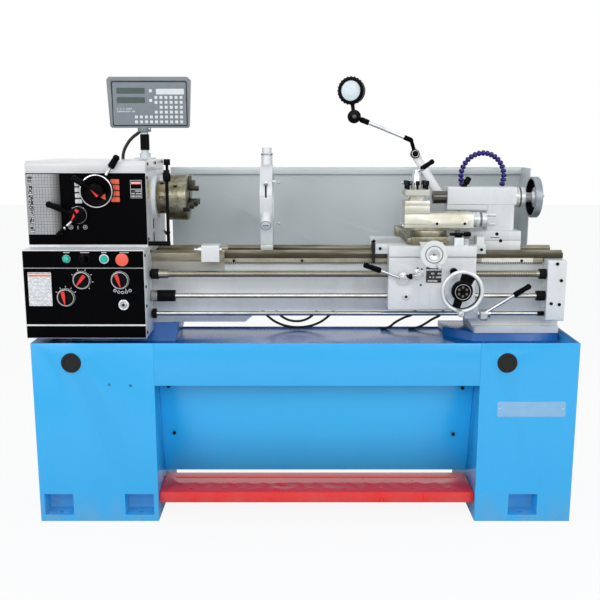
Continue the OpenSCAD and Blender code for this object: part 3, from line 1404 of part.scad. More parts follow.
module readout_case() {
    cx = readout_x + 22;
    half = readout_w / 2;
    y1 = readout_y + 26;
    y0 = y1 - readout_d;
    z0 = readout_z + 14;
    color("slategray") difference() {
        union() {
            section_y(y0, y1) polygon([[cx - half + 14, z0], [cx + half - 14, z0], [cx + half - 8, z0 + 6],
                [cx + half, z0 + readout_h - 10], [cx + half - 10, z0 + readout_h], [cx - half + 10,
                    z0 + readout_h],
                [cx - half, z0 + readout_h - 10], [cx - half + 8, z0 + 6]]);
            along_z(readout_z, z0 + eps, readout_x, readout_y, 24);
        }
        along_z(readout_z - eps, readout_z + 19, readout_x, readout_y, 9 + run_fit);
        section_y(y0 - eps, y0 + 2) polygon([[cx - half + 24, z0 + 12], [cx + half - 24, z0 + 12],
            [cx + half - 14, z0 + readout_h - 14], [cx - half + 14, z0 + readout_h - 14]]);
    }
}

// Conduits that hang behind the bed from its rear web; two of them drop to the tray
cable_r = 4.5;
cable_y = bed_y1 - 16 + cable_r + 0.1;
function hang(x0, x1, top, low) = [for (i = [0 : 10]) let(u = i / 5 - 1, v = u * u)
    [x0 + i * (x1 - x0) / 10, low + (top - low) * (0.55 * v + 0.45 * v * v)]];
module conduit(p) swept(p, cable_y, [for (i = p) cable_r], 8);

module cables() {
    color("gray") {
        conduit(hang(arch_x0 + 18, arch_x0 + 354, arch_z + 24, tray_z + 8));
        conduit(hang(arch_x0 + 76, arch_x0 + 284, arch_z + 22, tray_z + 31));
        conduit([[right_foot_x - 163, arch_z + 22], [right_foot_x - 187, arch_z - 48],
            [right_foot_x - 222, arch_z - 64],
            [right_foot_x - 254, arch_z - 82], [right_foot_x - 274, tray_z + 10], [right_foot_x - 290,
                tray_z + 4.8],
            [right_foot_x - 308, tray_z + 4.6]]);
        conduit([[right_foot_x - 66, arch_z + 20], [right_foot_x - 81, arch_z - 48],
            [right_foot_x - 116, arch_z - 70],
            [right_foot_x - 150, arch_z - 92], [right_foot_x - 168, tray_z + 8], [right_foot_x - 186,
                tray_z + 4.6]]);
    }
}

left_cabinet();
right_cabinet();
chip_tray();
kick_panel();
foot_brake();
bed();
gap_piece();
rack();
leadscrew();
feed_rod();
control_rod();
rod_bracket();
carriage_stop();
headstock();
headstock_cover();
gearbox();
end_cover();
spindle();
chuck_body();
jaw_1();
jaw_2();
jaw_3();
guard_post();
speed_lever();
range_lever();
thread_lever();
reverse_lever();
dial_1();
dial_2();
dial_3();
mode_switch();
start_button();
stop_button();
splash_guard();
steady_frame();
steady_top();
saddle();
apron();
carriage_wheel();
apron_lever();
control_lever();
saddle_lock();
cross_slide();
cross_wheel();
swivel_base();
top_slide();
top_wheel();
tool_post();
post_handle();
tailstock();
quill();
tail_wheel();
quill_lock();
lamp_lower_arm();
lamp_upper_arm();
lamp_head();
coolant_hose();
readout_post();
readout_case();
cables();
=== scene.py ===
"""Visual model of an engine lathe on a two-cabinet stand.

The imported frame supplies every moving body; the classes below dress it. Each sub-assembly is a class that holds its
sizes in metres, builds its own pieces and gives them their finish. X runs from the headstock to the tailstock, Y away
from the operator and Z up from the floor.
"""

from __future__ import annotations

import logging
import math
from dataclasses import dataclass
from enum import Enum
from typing import Callable, Iterable, Sequence, Union

import bpy
from mathutils import Matrix, Vector


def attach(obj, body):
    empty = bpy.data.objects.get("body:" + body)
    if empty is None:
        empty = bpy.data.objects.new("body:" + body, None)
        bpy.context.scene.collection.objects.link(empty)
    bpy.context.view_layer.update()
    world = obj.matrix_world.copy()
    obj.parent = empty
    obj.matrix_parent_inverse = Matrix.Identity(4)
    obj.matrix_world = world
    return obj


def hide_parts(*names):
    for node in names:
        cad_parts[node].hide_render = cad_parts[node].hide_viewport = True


LOG = logging.getLogger("lathe")
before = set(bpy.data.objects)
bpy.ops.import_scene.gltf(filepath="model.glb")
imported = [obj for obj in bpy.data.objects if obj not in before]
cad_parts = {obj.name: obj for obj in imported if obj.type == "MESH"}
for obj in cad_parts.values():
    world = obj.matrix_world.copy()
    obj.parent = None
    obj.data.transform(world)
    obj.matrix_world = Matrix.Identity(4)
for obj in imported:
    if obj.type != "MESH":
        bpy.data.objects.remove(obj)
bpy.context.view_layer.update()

Point = tuple[float, float, float]
Colour = tuple[float, float, float]
Spot = tuple[float, float]
Box = tuple[float, float, float, float]
Value = Union[float, Sequence[float], "Wire"]
Chooser = Callable[[Vector, Vector], bool]

ORIGIN: Point = (0.0, 0.0, 0.0)
EVEN: Point = (1.0, 1.0, 1.0)
SPINDLE_LINE: Point = (0.0, 0.095, 1.081)
OIL: Colour = (0.2, 0.16, 0.09)
PRINT_BLACK: Colour = (0.014, 0.014, 0.015)
HEAD_HUB: Spot = (-0.644, 1.113)
LOW_HUB: Spot = (-0.708, 1.034)
DIALS: tuple[Spot, ...] = ((-0.689, 0.825), (-0.744, 0.767), (-0.563, 0.825))
LOCK: Spot = (-0.554, 0.742)
BUTTON_Z = 0.896
PILOT_X, START_X, STOP_X, MODE_X = -0.736, -0.612, -0.549, -0.677
PANEL_RISE = 0.0012
PRINT_RISE = 0.0003
FINE_EDGE = 0.0008
EDGE = 0.0012
CAST_EDGE = 0.0014


class Axis(Enum):
    """The axis that a turned piece stands on, or that a pattern runs along."""

    X = 0
    Y = 1
    Z = 2

    @property
    def way(self) -> Vector:
        """Return a step of one along the axis."""
        return Vector([float(index == self.value) for index in range(3)])


def paint_colour(red: int, green: int, blue: int) -> Colour:
    """Turn a colour as mixed on a screen into the linear one that a shader takes.

    Args:
        red: Red, from 0 to 255.
        green: Green, from 0 to 255.
        blue: Blue, from 0 to 255.

    Returns:
        The linear colour.
    """
    parts = [channel / 255 for channel in (red, green, blue)]
    return tuple(part / 12.92 if part <= 0.04045 else ((part + 0.055) / 1.055) ** 2.4 for part in parts)


# ---- Shader graph ----


class Wire:
    """A shader socket that takes part in sums; each sum adds its own Math node."""

    def __init__(self, graph: "Graph", socket: bpy.types.NodeSocket) -> None:
        """Hold a socket.

        Args:
            graph: The graph that the socket belongs to.
            socket: An output socket.
        """
        self.graph = graph
        self.socket = socket

    def _sum(self, operation: str, first: Value, second: Value = 0.0) -> "Wire":
        """Add a Math node and return its output."""
        return self.graph.add("ShaderNodeMath", {"operation": operation}, {0: first, 1: second})

    def __add__(self, other: Value) -> "Wire":
        """Return self + other."""
        return self._sum("ADD", self, other)

    __radd__ = __add__

    def __sub__(self, other: Value) -> "Wire":
        """Return self - other."""
        return self._sum("SUBTRACT", self, other)

    def __rsub__(self, other: Value) -> "Wire":
        """Return other - self."""
        return self._sum("SUBTRACT", other, self)

    def __mul__(self, other: Value) -> "Wire":
        """Return self * other."""
        return self._sum("MULTIPLY", self, other)

    __rmul__ = __mul__

    def __truediv__(self, other: Value) -> "Wire":
        """Return self / other."""
        return self._sum("DIVIDE", self, other)

    def __mod__(self, other: Value) -> "Wire":
        """Return what is left of self after whole steps of other, never negative."""
        return self._sum("FLOORED_MODULO", self, other)

    def __abs__(self) -> "Wire":
        """Return the size of self."""
        return self._sum("ABSOLUTE", self)

    def __pow__(self, other: Value) -> "Wire":
        """Return self to the power other."""
        return self._sum("POWER", self, other)

    def most(self, other: Value) -> "Wire":
        """Return the larger of self and other."""
        return self._sum("MAXIMUM", self, other)

    def wave(self) -> "Wire":
        """Return the sine of self."""
        return self._sum("SINE", self)

    def above(self, limit: float, soft: float = 0.0004) -> "Wire":
        """Return a mask that is 1 where self passes a limit.

        Args:
            limit: Where the mask is one half.
            soft: Half the width of its edge.

        Returns:
            The mask.
        """
        limits = {0: self, 1: limit - soft, 2: limit + soft, 3: 0.0, 4: 1.0}
        return self.graph.add("ShaderNodeMapRange", {"clamp": True}, limits)

    def within(self, low: float, high: float, soft: float = 0.0004) -> "Wire":
        """Return a mask that is 1 between two limits."""
        return self.above(low, soft) * (1 - self.above(high, soft))


class Graph:
    """The node graph of one material."""

    def __init__(self, name: str) -> None:
        """Start a material that holds only its Principled shader and output.

        Args:
            name: The material's name.
        """
        self.material = bpy.data.materials.new(name)
        self.material.use_nodes = True
        self.tree = self.material.node_tree
        self.shader = next(node for node in self.tree.nodes if node.type == "BSDF_PRINCIPLED")
        self.output = next(node for node in self.tree.nodes if node.type == "OUTPUT_MATERIAL")

    def feed(self, socket: bpy.types.NodeSocket, value: Value) -> None:
        """Link a wire to a socket, or set the socket's own value.

        Args:
            socket: An input socket.
            value: A wire, a number or a row of numbers.
        """
        if isinstance(value, Wire):
            self.tree.links.new(value.socket, socket)
        elif isinstance(value, (int, float)):
            socket.default_value = value
        else:
            size = len(socket.default_value)
            socket.default_value = (tuple(value) + (1.0,))[:size]

    def node(self, kind: str, settings: dict | None = None, sockets: dict | None = None) -> bpy.types.ShaderNode:
        """Add a node.

        Args:
            kind: The node's type.
            settings: Its settings, such as a Math node's operation, set first.
            sockets: Values or wires for its input sockets, by index or name.

        Returns:
            The node.
        """
        node = self.tree.nodes.new(kind)
        for key, value in (settings or {}).items():
            setattr(node, key, value)
        for key, value in (sockets or {}).items():
            self.feed(node.inputs[key], value)
        return node

    def add(self, kind: str, settings: dict | None = None, sockets: dict | None = None, out: int = 0) -> Wire:
        """Add a node and return one of its outputs.

        Args:
            kind: The node's type.
            settings: Its settings.
            sockets: Its input sockets.
            out: The output's index.

        Returns:
            The output as a wire.
        """
        return Wire(self, self.node(kind, settings, sockets).outputs[out])

    def place(self, centre: Point = ORIGIN, scale: Point = EVEN) -> Wire:
        """Return Object coordinates, centred and scaled.

        Args:
            centre: The place that becomes the origin.
            scale: Scale along each axis.

        Returns:
            The vector.
        """
        here = self.add("ShaderNodeTexCoord", out=3)
        sizes = [1 / part for part in scale]
        return self.add("ShaderNodeMapping", {"vector_type": "TEXTURE"}, {0: here, 1: centre, 3: sizes})

    def split(self, vector: Wire) -> tuple[Wire, Wire, Wire]:
        """Return the X, Y and Z of a vector."""
        node = self.node("ShaderNodeSeparateXYZ", None, {0: vector})
        return tuple(Wire(self, socket) for socket in node.outputs)

    def noise(self, scale: float, detail: float = 3.0, stretch: Point = EVEN, rough: float = 0.55) -> Wire:
        """Return noise over the surface, from 0 to 1.

        Args:
            scale: Features in a metre.
            detail: Octaves.
            stretch: Scale along each axis.
            rough: Weight of the finer octaves.

        Returns:
            The noise.
        """
        sockets = {"Vector": self.place(scale=stretch), "Scale": scale, "Detail": detail, "Roughness": rough}
        return self.add("ShaderNodeTexNoise", None, sockets)

    def blend(self, mask: Value, first: Value, second: Value) -> Wire:
        """Mix two colours.

        Args:
            mask: 0 for the first colour, 1 for the second.
            first: A colour or wire.
            second: A colour or wire.

        Returns:
            The mixed colour.
        """
        node = self.node("ShaderNodeMix", {"data_type": "RGBA"})
        self.feed(node.inputs[0], mask)
        self.feed(node.inputs[6], first)
        self.feed(node.inputs[7], second)
        return Wire(self, node.outputs[2])

    def emboss(self, height: Wire, depth: float) -> Wire:
        """Turn a height from 0 to 1 into a bumped normal.

        Args:
            height: The height.
            depth: Metres that a height of 1 stands out.

        Returns:
            The normal.
        """
        return self.add("ShaderNodeBump", None, {"Strength": 1.0, "Distance": depth, "Height": height})

    def angle_round(self, across: Wire, up: Wire) -> Wire:
        """Return the angle of a point round an axis, from its two distances to it."""
        return self.add("ShaderNodeMath", {"operation": "ARCTAN2"}, {0: up, 1: across})

    def current(self, name: str) -> Value:
        """Return what feeds a socket of the Principled shader, or its value."""
        socket = self.shader.inputs[name]
        if socket.links:
            return Wire(self, socket.links[0].from_socket)
        return tuple(socket.default_value[:3]) if socket.type == "RGBA" else socket.default_value

    def set(self, **sockets: Value) -> None:
        """Set sockets of the Principled shader, with _ for a space in a name."""
        for key, value in sockets.items():
            self.feed(self.shader.inputs[key.replace("_", " ")], value)


# ---- Finishes ----


@dataclass(frozen=True)
class Finish:
    """A finish that is bare but for fine unevenness; the others build on it."""

    name: str
    colour: Colour
    roughness: float = 0.45
    metallic: float = 0.0
    coat: float = 0.0
    shine: float = 0.5

    def material(self) -> bpy.types.Material:
        """Return the finish's material, made once."""
        title = f"{self.name}_surface"
        made = bpy.data.materials.get(title)
        if made is None:
            graph = Graph(title)
            graph.set(Roughness=self.roughness, Metallic=self.metallic)
            graph.shader.inputs["Coat Weight"].default_value = self.coat
            graph.shader.inputs["Coat Roughness"].default_value = 0.15
            graph.shader.inputs["Specular IOR Level"].default_value = self.shine
            self.mix(graph)
            made = graph.material
        return made

    def shade(self, share: float) -> Colour:
        """Return the colour, lighter above 1 and darker below."""
        return tuple(min(1.0, part * share) for part in self.colour)

    def mix(self, graph: Graph) -> None:
        """Lay the finish out on its graph: a moulded surface with a fine grain."""
        cloud = graph.noise(30.0, 4.0)
        grain = graph.noise(1400.0, 2.0)
        graph.set(Base_Color=graph.blend(cloud, self.shade(0.86), self.shade(1.12)))
        graph.set(Roughness=cloud * 0.12 + (self.roughness - 0.06), Normal=graph.emboss(grain, 0.00008))


@dataclass(frozen=True)
class SheetPaint(Finish):
    """Sprayed gloss paint on sheet steel: orange peel, a little dust low down and rubbed patches."""

    dust: Colour = (0.3, 0.32, 0.34)
    dust_top: float = 0.12
    wear: float = 0.1

    def mix(self, graph: Graph) -> None:
        """Lay the paint out on its graph."""
        z = graph.split(graph.place())[2]
        cloud = graph.noise(2.2, 3.0)
        smear = graph.noise(14.0, 5.0, (1.0, 1.0, 0.25))
        peel = graph.noise(900.0, 1.0)
        colour = graph.blend(cloud, self.shade(0.93), self.shade(1.06))
        low = (1 - z / self.dust_top).most(0.0) * smear.above(0.5, 0.2) * 0.35
        scuff = graph.noise(55.0, 6.0, (1.0, 1.0, 3.0)).above(0.68, 0.03) * self.wear
        graph.set(Base_Color=graph.blend(low, graph.blend(scuff, colour, self.shade(0.6)), self.dust))
        graph.set(Roughness=smear * 0.16 + (self.roughness - 0.08) + scuff * 0.3, Normal=graph.emboss(peel, 0.00005))


@dataclass(frozen=True)
class CastingPaint(Finish):
    """Filled and painted iron: faint hollows, oil haze and chips where tools knock it."""

    oil: Colour = (0.42, 0.38, 0.3)
    stain: float = 0.25

    def mix(self, graph: Graph) -> None:
        """Lay the paint out on its graph."""
        cloud = graph.noise(5.0, 3.0)
        hollow = graph.noise(60.0, 3.0)
        haze = graph.noise(9.0, 6.0, (1.0, 1.0, 0.4), 0.62).above(0.62, 0.12) * self.stain
        chip = graph.noise(170.0, 4.0).above(0.73, 0.012) * 0.5
        colour = graph.blend(cloud, self.shade(0.94), self.shade(1.05))
        colour = graph.blend(haze, colour, self.oil)
        graph.set(Base_Color=graph.blend(chip, colour, (0.2, 0.19, 0.18)))
        graph.set(Roughness=cloud * 0.14 + (self.roughness - 0.07))
        graph.set(Normal=graph.emboss(hollow * 0.8 + graph.noise(700.0, 1.0) * 0.2, 0.0003))


@dataclass(frozen=True)
class WayCasting(CastingPaint):
    """The bed's paint, with its ground ways and an oily band along them; the ways' flanks are painted darker as shade
    and their tops lighter as light falls on them.
    """

    flat_z: float = 0.8965
    steel: Colour = (0.42, 0.4, 0.34)
    grime: Colour = (0.12, 0.1, 0.05)
    top_z: float = 0.8955
    top: Colour = (0.34, 0.31, 0.22)

    def mix(self, graph: Graph) -> None:
        """Lay paint and ground steel out on the graph."""
        super().mix(graph)
        z = graph.split(graph.place())[2]
        way = z.above(self.flat_z, 0.0006)
        streak = graph.noise(30.0, 5.0, (0.12, 1.0, 1.0))
        # Top above top_z and flank below take different colours: painted light on the top, painted shade on the flank.
        steel = graph.blend(streak.above(0.5, 0.16),
                            graph.blend(z.above(self.top_z, 0.0004), self.steel, self.top), self.grime)
        graph.set(Base_Color=graph.blend(way, graph.current("Base Color"), steel))
        graph.set(Metallic=way * 0.8, Roughness=0.5 - way * 0.16 + streak * 0.1)


@dataclass(frozen=True)
class MachinedSteel(Finish):
    """Steel with tool marks along one axis, oil stains and small dark spots."""

    grain: Axis = Axis.X
    oil: Colour = OIL
    stain: float = 0.35
    fine: float = 260.0

    def mix(self, graph: Graph) -> None:
        """Lay the steel out on its graph."""
        stretch = [1.0, 1.0, 1.0]
        stretch[self.grain.value] = 0.05
        line = graph.noise(self.fine, 3.0, tuple(stretch))
        pool = graph.noise(16.0, 6.0, rough=0.65)
        oiled = pool.above(0.56, 0.14) * self.stain
        spot = graph.noise(210.0, 3.0).above(0.72, 0.02) * self.stain
        colour = graph.blend(line, self.shade(0.78), self.shade(1.15))
        colour = graph.blend(oiled, colour, self.oil)
        graph.set(Base_Color=graph.blend(spot, colour, (0.1, 0.08, 0.05)))
        graph.set(Roughness=line * 0.14 + (self.roughness - 0.07) + oiled * 0.1, Normal=graph.emboss(line, 0.00012))


class Measure(Enum):
    """What a zone of a finish is told by: a coordinate, or the distance round an axis."""

    X = 0
    Y = 1
    Z = 2
    ROUND_X = 3
    ROUND_Y = 4
    ROUND_Z = 5


Tests = tuple[tuple[Measure, float, float], ...]


@dataclass(frozen=True)
class Zone:
    """A part of a finish that looks otherwise: where each measure from a centre lies between its limits."""

    tests: Tests
    colour: Colour
    metallic: float = 0.0
    roughness: float = 0.35
    centre: Point = ORIGIN

    def mask(self, graph: Graph) -> Wire:
        """Return the zone's mask on a graph."""
        parts = list(graph.split(graph.place(centre=self.centre)))
        found: Value = 1.0
        for measure, low, high in self.tests:
            value = parts[measure.value % 3]
            if measure.value > 2:
                one, two = (part for index, part in enumerate(parts) if index != measure.value % 3)
                value = (one * one + two * two) ** 0.5
            found = value.within(low, high, 0.0003) * found
        return found


@dataclass(frozen=True)
class Zoned(MachinedSteel):
    """Machined steel with zones of other finishes, such as a black grip or a painted web."""

    shine: float = 0.03
    zones: tuple[Zone, ...] = ()

    def mix(self, graph: Graph) -> None:
        """Lay the steel and then each zone out on the graph."""
        super().mix(graph)
        for zone in self.zones:
            mask = zone.mask(graph)
            grain = graph.noise(60.0, 3.0)
            colour = graph.blend(grain, tuple(part * 0.85 for part in zone.colour),
                                 tuple(part * 1.15 for part in zone.colour))
            graph.set(Base_Color=graph.blend(mask, graph.current("Base Color"), colour))
            rough, metal = graph.current("Roughness"), graph.current("Metallic")
            graph.set(Roughness=mask * (grain * 0.1 + zone.roughness - 0.05 - rough) + rough)
            graph.set(Metallic=mask * (zone.metallic - metal) + metal)


@dataclass(frozen=True)
class TurnedSteel(Finish):
    """Steel turned on a lathe: fine rings about an axis through a point."""

    axis: Axis = Axis.Y
    centre: Point = ORIGIN
    oil: Colour = OIL
    stain: float = 0.2
    rings: float = 5200.0

    def mix(self, graph: Graph) -> None:
        """Lay the turned steel out on its graph."""
        parts = list(graph.split(graph.place(centre=self.centre)))
        along = parts.pop(self.axis.value)
        radius = (parts[0] * parts[0] + parts[1] * parts[1]) ** 0.5
        ring = ((radius + along) * self.rings).wave() * 0.5 + 0.5
        cloud = graph.noise(25.0, 5.0)
        oiled = cloud.above(0.58, 0.12) * self.stain
        graph.set(Base_Color=graph.blend(oiled, graph.blend(ring, self.shade(0.85), self.shade(1.08)), self.oil))
        graph.set(Roughness=cloud * 0.16 + (self.roughness - 0.08), Normal=graph.emboss(ring, 0.00004))


@dataclass(frozen=True)
class ScrewThread(MachinedSteel):
    """A thread cut along an axis through a point, its roots painted darker as shade."""

    centre: Point = ORIGIN
    pitch: float = 0.006
    start: float = -9.0
    end: float = 9.0

    def mix(self, graph: Graph) -> None:
        """Lay the thread out on the graph, over the steel."""
        super().mix(graph)
        parts = list(graph.split(graph.place(centre=self.centre)))
        along = parts.pop(self.grain.value)
        angle = graph.angle_round(*parts)
        ramp = (along / self.pitch + angle / (2 * math.pi)) % 1.0
        crest = (abs(ramp - 0.5) * 2).within(0.5, 2.0, 0.2) * along.within(self.start, self.end, 0.001)
        # Between the crests the thread is painted darker: painted shade in its roots.
        under = graph.current("Base Color")
        cut = (1 - crest) * along.within(self.start, self.end, 0.001)
        graph.set(Base_Color=graph.blend(cut * 0.4, under, (0.06, 0.05, 0.03)))
        graph.set(Normal=graph.emboss(crest, 0.0006))


@dataclass(frozen=True)
class Corroded(Finish):
    """Oiled chuck steel: ring marks, straw-brown film and darker runs."""

    centre: Point = ORIGIN
    film: Colour = (0.23, 0.17, 0.06)

    def mix(self, graph: Graph) -> None:
        """Lay the oiled steel out on its graph."""
        x = graph.split(graph.place(centre=self.centre))[0]
        ring = (x * 4200.0).wave() * 0.5 + 0.5
        pool = graph.noise(34.0, 6.0, rough=0.68)
        colour = graph.blend(ring, self.shade(0.88), self.shade(1.1))
        colour = graph.blend(pool.above(0.5, 0.12) * 0.72, colour, self.film)
        colour = graph.blend(graph.noise(90.0, 4.0).above(0.64, 0.06) * 0.5, colour, (0.05, 0.04, 0.02))
        graph.set(Base_Color=colour, Roughness=pool * 0.25 + 0.2, Normal=graph.emboss(ring * 0.4 + pool * 0.6, 0.00015))


@dataclass(frozen=True)
class Printed(Finish):
    """A plate printed with rows of short marks on a ground, with its middle at a point on a front face."""

    centre: Point = ORIGIN
    ink: Colour = (0.02, 0.02, 0.02)
    row: float = 0.006
    word: float = 0.011
    fill: float = 0.5
    cover: float = 0.62

    def mix(self, graph: Graph) -> None:
        """Lay the print out on its graph."""
        x, _, z = graph.split(graph.place(centre=self.centre))
        line = (z / self.row) % 1.0
        inside = line.within(0.5 - self.fill / 2, 0.5 + self.fill / 2, 0.06)
        step = graph.add("ShaderNodeCombineXYZ", None, {0: x / self.word, 1: 0.0, 2: (z / self.row - line)})
        chance = graph.add("ShaderNodeTexWhiteNoise", {"noise_dimensions": "3D"}, {"Vector": graph.add(
            "ShaderNodeVectorMath", {"operation": "FLOOR"}, {0: step})})
        letter = graph.noise(1500.0, 0.0, (1.0, 1.0, 0.2)).above(0.42, 0.05)
        mark = inside * (1 - chance.above(self.cover, 0.001)) * letter
        graph.set(Base_Color=graph.blend(mark, self.colour, self.ink), Roughness=self.roughness)


@dataclass(frozen=True)
class Ruled(Finish):
    """A bright plate with a grid of dark cells, as on a feed and thread chart."""

    centre: Point = ORIGIN
    column: float = 0.0105
    row: float = 0.0105
    ink: Colour = (0.03, 0.03, 0.03)
    fade: float = 0.02

    def mix(self, graph: Graph) -> None:
        """Lay the chart out on its graph."""
        x, _, z = graph.split(graph.place(centre=self.centre))
        across = abs((x / self.column) % 1.0 - 0.5)
        down = abs((z / self.row) % 1.0 - 0.5)
        rule = across.above(0.43, 0.03).most(down.above(0.43, 0.03))
        digit = graph.noise(950.0, 1.0).above(0.5, 0.08) * across.within(-1.0, 0.3, 0.04)
        digit = digit * down.within(-1.0, 0.22, 0.04)
        # A soft lighter and darker patch across the plate is a painted sheen.
        shine = graph.noise(3.0, 2.0, (1.0, 1.0, 0.5)).above(0.5, 0.2)
        ground = graph.blend(shine, self.shade(0.72), self.shade(1.1))
        ground = graph.blend((x + self.fade).above(0.0, self.fade), ground, self.ink)
        graph.set(Base_Color=graph.blend((rule * 0.85).most(digit * 0.7), ground, self.ink), Roughness=self.roughness)
        graph.set(Normal=graph.emboss(1 - rule, 0.0001))


@dataclass(frozen=True)
class Glow(Finish):
    """A lens, lamp face, display or button that gives a little light of its own; on a button, which is no lamp, that
    light is painted.
    """

    strength: float = 0.4

    def mix(self, graph: Graph) -> None:
        """Lay the lens out on its graph."""
        cloud = graph.noise(160.0, 2.0)
        graph.set(Base_Color=graph.blend(cloud, self.shade(0.9), self.shade(1.1)), Emission_Color=self.colour)
        graph.shader.inputs["Emission Strength"].default_value = self.strength


# ---- Modelling ----


class Piece:
    """A mesh while it is shaped; every method hands the piece back."""

    def __init__(self, name: str, obj: bpy.types.Object | None = None) -> None:
        """Take the active object, or the one given.

        Args:
            name: The piece's name.
            obj: The object, where it isn't the active one.
        """
        self.obj = obj or bpy.context.active_object
        self.obj.name = name
        self.obj.data.name = name

    @classmethod
    def block(cls, name: str, low: Point, high: Point) -> "Piece":
        """Start from a cube that fills a box.

        Args:
            name: The piece's name.
            low: The box's lowest corner.
            high: The box's highest corner.

        Returns:
            The piece.
        """
        centre = (Vector(low) + Vector(high)) / 2
        bpy.ops.mesh.primitive_cube_add(size=1.0, location=centre, scale=Vector(high) - Vector(low))
        return cls(name).settle()

    @classmethod
    def turned(cls, name: str, axis: Axis, foot: Point, profile: Sequence[Spot], sides: int = 40) -> "Piece":
        """Turn a closed body: a disc extruded and resized station by station.

        Args:
            name: The piece's name.
            axis: The axis that it is turned on.
            foot: The point that distances run from.
            profile: Distance along the axis and radius at each station, in metres.
            sides: Faces round it.

        Returns:
            The piece.
        """
        way = axis.way
        turn = way.to_track_quat("Z", "Y").to_euler()
        along, radius = profile[0]
        start = Vector(foot) + way * along
        bpy.ops.mesh.primitive_circle_add(vertices=sides, radius=radius, fill_type="NGON", location=start,
                                          rotation=turn)
        piece = cls(name).settle().edit_all()
        for there, next_radius in profile[1:]:
            shift = way * (there - along)
            bpy.ops.mesh.extrude_region_move(TRANSFORM_OT_translate={"value": shift})
            if next_radius != radius:
                bpy.ops.transform.resize(value=[next_radius / radius] * 3, center_override=Vector(foot) + way * there)
            along, radius = there, next_radius
        bpy.ops.mesh.select_all(action="SELECT")
        bpy.ops.mesh.normals_make_consistent(inside=False)
        return piece.leave()

    @classmethod
    def ring(cls, name: str, axis: Axis, centre: Point, major: float, minor: float, sides: int = 48) -> "Piece":
        """Start from a torus.

        Args:
            name: The piece's name.
            axis: The axis that it lies round.
            centre: Its middle.
            major: Radius to the middle of its tube.
            minor: The tube's radius.
            sides: Faces round it.

        Returns:
            The piece.
        """
        bpy.ops.mesh.primitive_torus_add(
            location=centre,
            rotation=axis.way.to_track_quat("Z", "Y").to_euler(),
            major_segments=sides,
            minor_segments=12,
            major_radius=major,
            minor_radius=minor,
        )
        return cls(name).settle().smooth()

    @classmethod
    def soft(cls, node: str, width: float, angle: float = 40.0) -> "Piece":
        """Copy a CAD node's mesh, merge it, and round its edges.

        Args:
            node: The node, which the piece then stands for.
            width: Width of the rounding.
            angle: Edges sharper than this are rounded.

        Returns:
            The piece.
        """
        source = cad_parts[node]
        twin = source.copy()
        twin.data = source.data.copy()
        twin.parent = None
        twin.matrix_world = source.matrix_world
        bpy.context.scene.collection.objects.link(twin)
        piece = cls(f"{node}_skin", twin).settle().edit_all()
        bpy.ops.mesh.remove_doubles(threshold=0.00001)
        bpy.ops.mesh.dissolve_limited(angle_limit=math.radians(1.0), delimit={"NORMAL"})
        piece.leave().bevel(width, 2, angle).smooth(32)
        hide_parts(node)
        return piece

    def alone(self) -> "Piece":
        """Select the piece and nothing else."""
        bpy.ops.object.select_all(action="DESELECT")
        self.obj.select_set(True)
        bpy.context.view_layer.objects.active = self.obj
        return self

    def settle(self) -> "Piece":
        """Put its place, turn and scale into its mesh."""
        self.alone()
        bpy.ops.object.transform_apply(location=True, rotation=True, scale=True)
        return self

    def edit(self) -> "Piece":
        """Go into edit mode."""
        self.alone()
        bpy.ops.object.mode_set(mode="EDIT")
        return self

    def leave(self) -> "Piece":
        """Go back to object mode."""
        bpy.ops.object.mode_set(mode="OBJECT")
        return self

    def edit_all(self) -> "Piece":
        """Go into edit mode with everything selected."""
        self.edit()
        bpy.ops.mesh.select_all(action="SELECT")
        return self

    def drop_choice(self, kind: str) -> None:
        """Deselect everything, ready to select faces or edges in object mode."""
        self.edit()
        bpy.ops.mesh.select_mode(type=kind)
        bpy.ops.mesh.select_all(action="DESELECT")
        self.leave()

    def pick(self, faces: Chooser) -> "Piece":
        """Select faces and stay in edit mode.

        Args:
            faces: Tells from a face's middle and normal whether it is meant.

        Returns:
            The piece.
        """
        self.drop_choice("FACE")
        for face in self.obj.data.polygons:
            face.select = faces(face.center, face.normal)
        return self.edit()

    def pick_edges(self, edges: Chooser) -> "Piece":
        """Select edges and stay in edit mode.

        Args:
            edges: Tells from an edge's middle and run whether it is meant.

        Returns:
            The piece.
        """
        self.drop_choice("EDGE")
        mesh = self.obj.data
        for edge in mesh.edges:
            one, two = (mesh.vertices[index].co for index in edge.vertices)
            edge.select = edges((one + two) / 2, two - one)
        return self.edit()

    def inset(self, faces: Chooser, width: float, rise: float) -> "Piece":
        """Inset the faces meant and move them out, or in where the rise is negative."""
        self.pick(faces)
        bpy.ops.mesh.inset(thickness=width, use_even_offset=True)
        bpy.ops.mesh.extrude_region_shrink_fatten(TRANSFORM_OT_shrink_fatten={"value": rise})
        return self.leave()

    def corners(self, axis: Axis, radius: float, steps: int = 5) -> "Piece":
        """Round the corners whose edges run along an axis."""
        self.pick_edges(lambda middle, run: abs(run.normalized()[axis.value]) > 0.999)
        bpy.ops.mesh.bevel(offset=radius, segments=steps, affect="EDGES")
        return self.leave()

    def cut(self, point: Point, normal: Point) -> "Piece":
        """Cut away what lies on the side that a plane's normal points to."""
        self.edit_all()
        bpy.ops.mesh.bisect(plane_co=point, plane_no=normal, use_fill=True, clear_outer=True)
        return self.leave()

    def bevel(self, width: float, steps: int = 2, angle: float = 35.0) -> "Piece":
        """Round every edge sharper than an angle, by a modifier that is applied."""
        tool = self.obj.modifiers.new("edge", "BEVEL")
        tool.width = width
        tool.segments = steps
        tool.limit_method = "ANGLE"
        tool.angle_limit = math.radians(angle)
        return self.apply(tool)

    def apply(self, tool: bpy.types.Modifier) -> "Piece":
        """Apply a modifier."""
        self.alone()
        bpy.ops.object.modifier_apply(modifier=tool.name)
        return self

    def smooth(self, angle: float = 35.0) -> "Piece":
        """Shade smooth up to an angle."""
        self.alone()
        bpy.ops.object.shade_smooth_by_angle(angle=math.radians(angle))
        return self

    def move(self, place: Matrix) -> "Piece":
        """Turn and shift the mesh."""
        self.obj.data.transform(place)
        return self

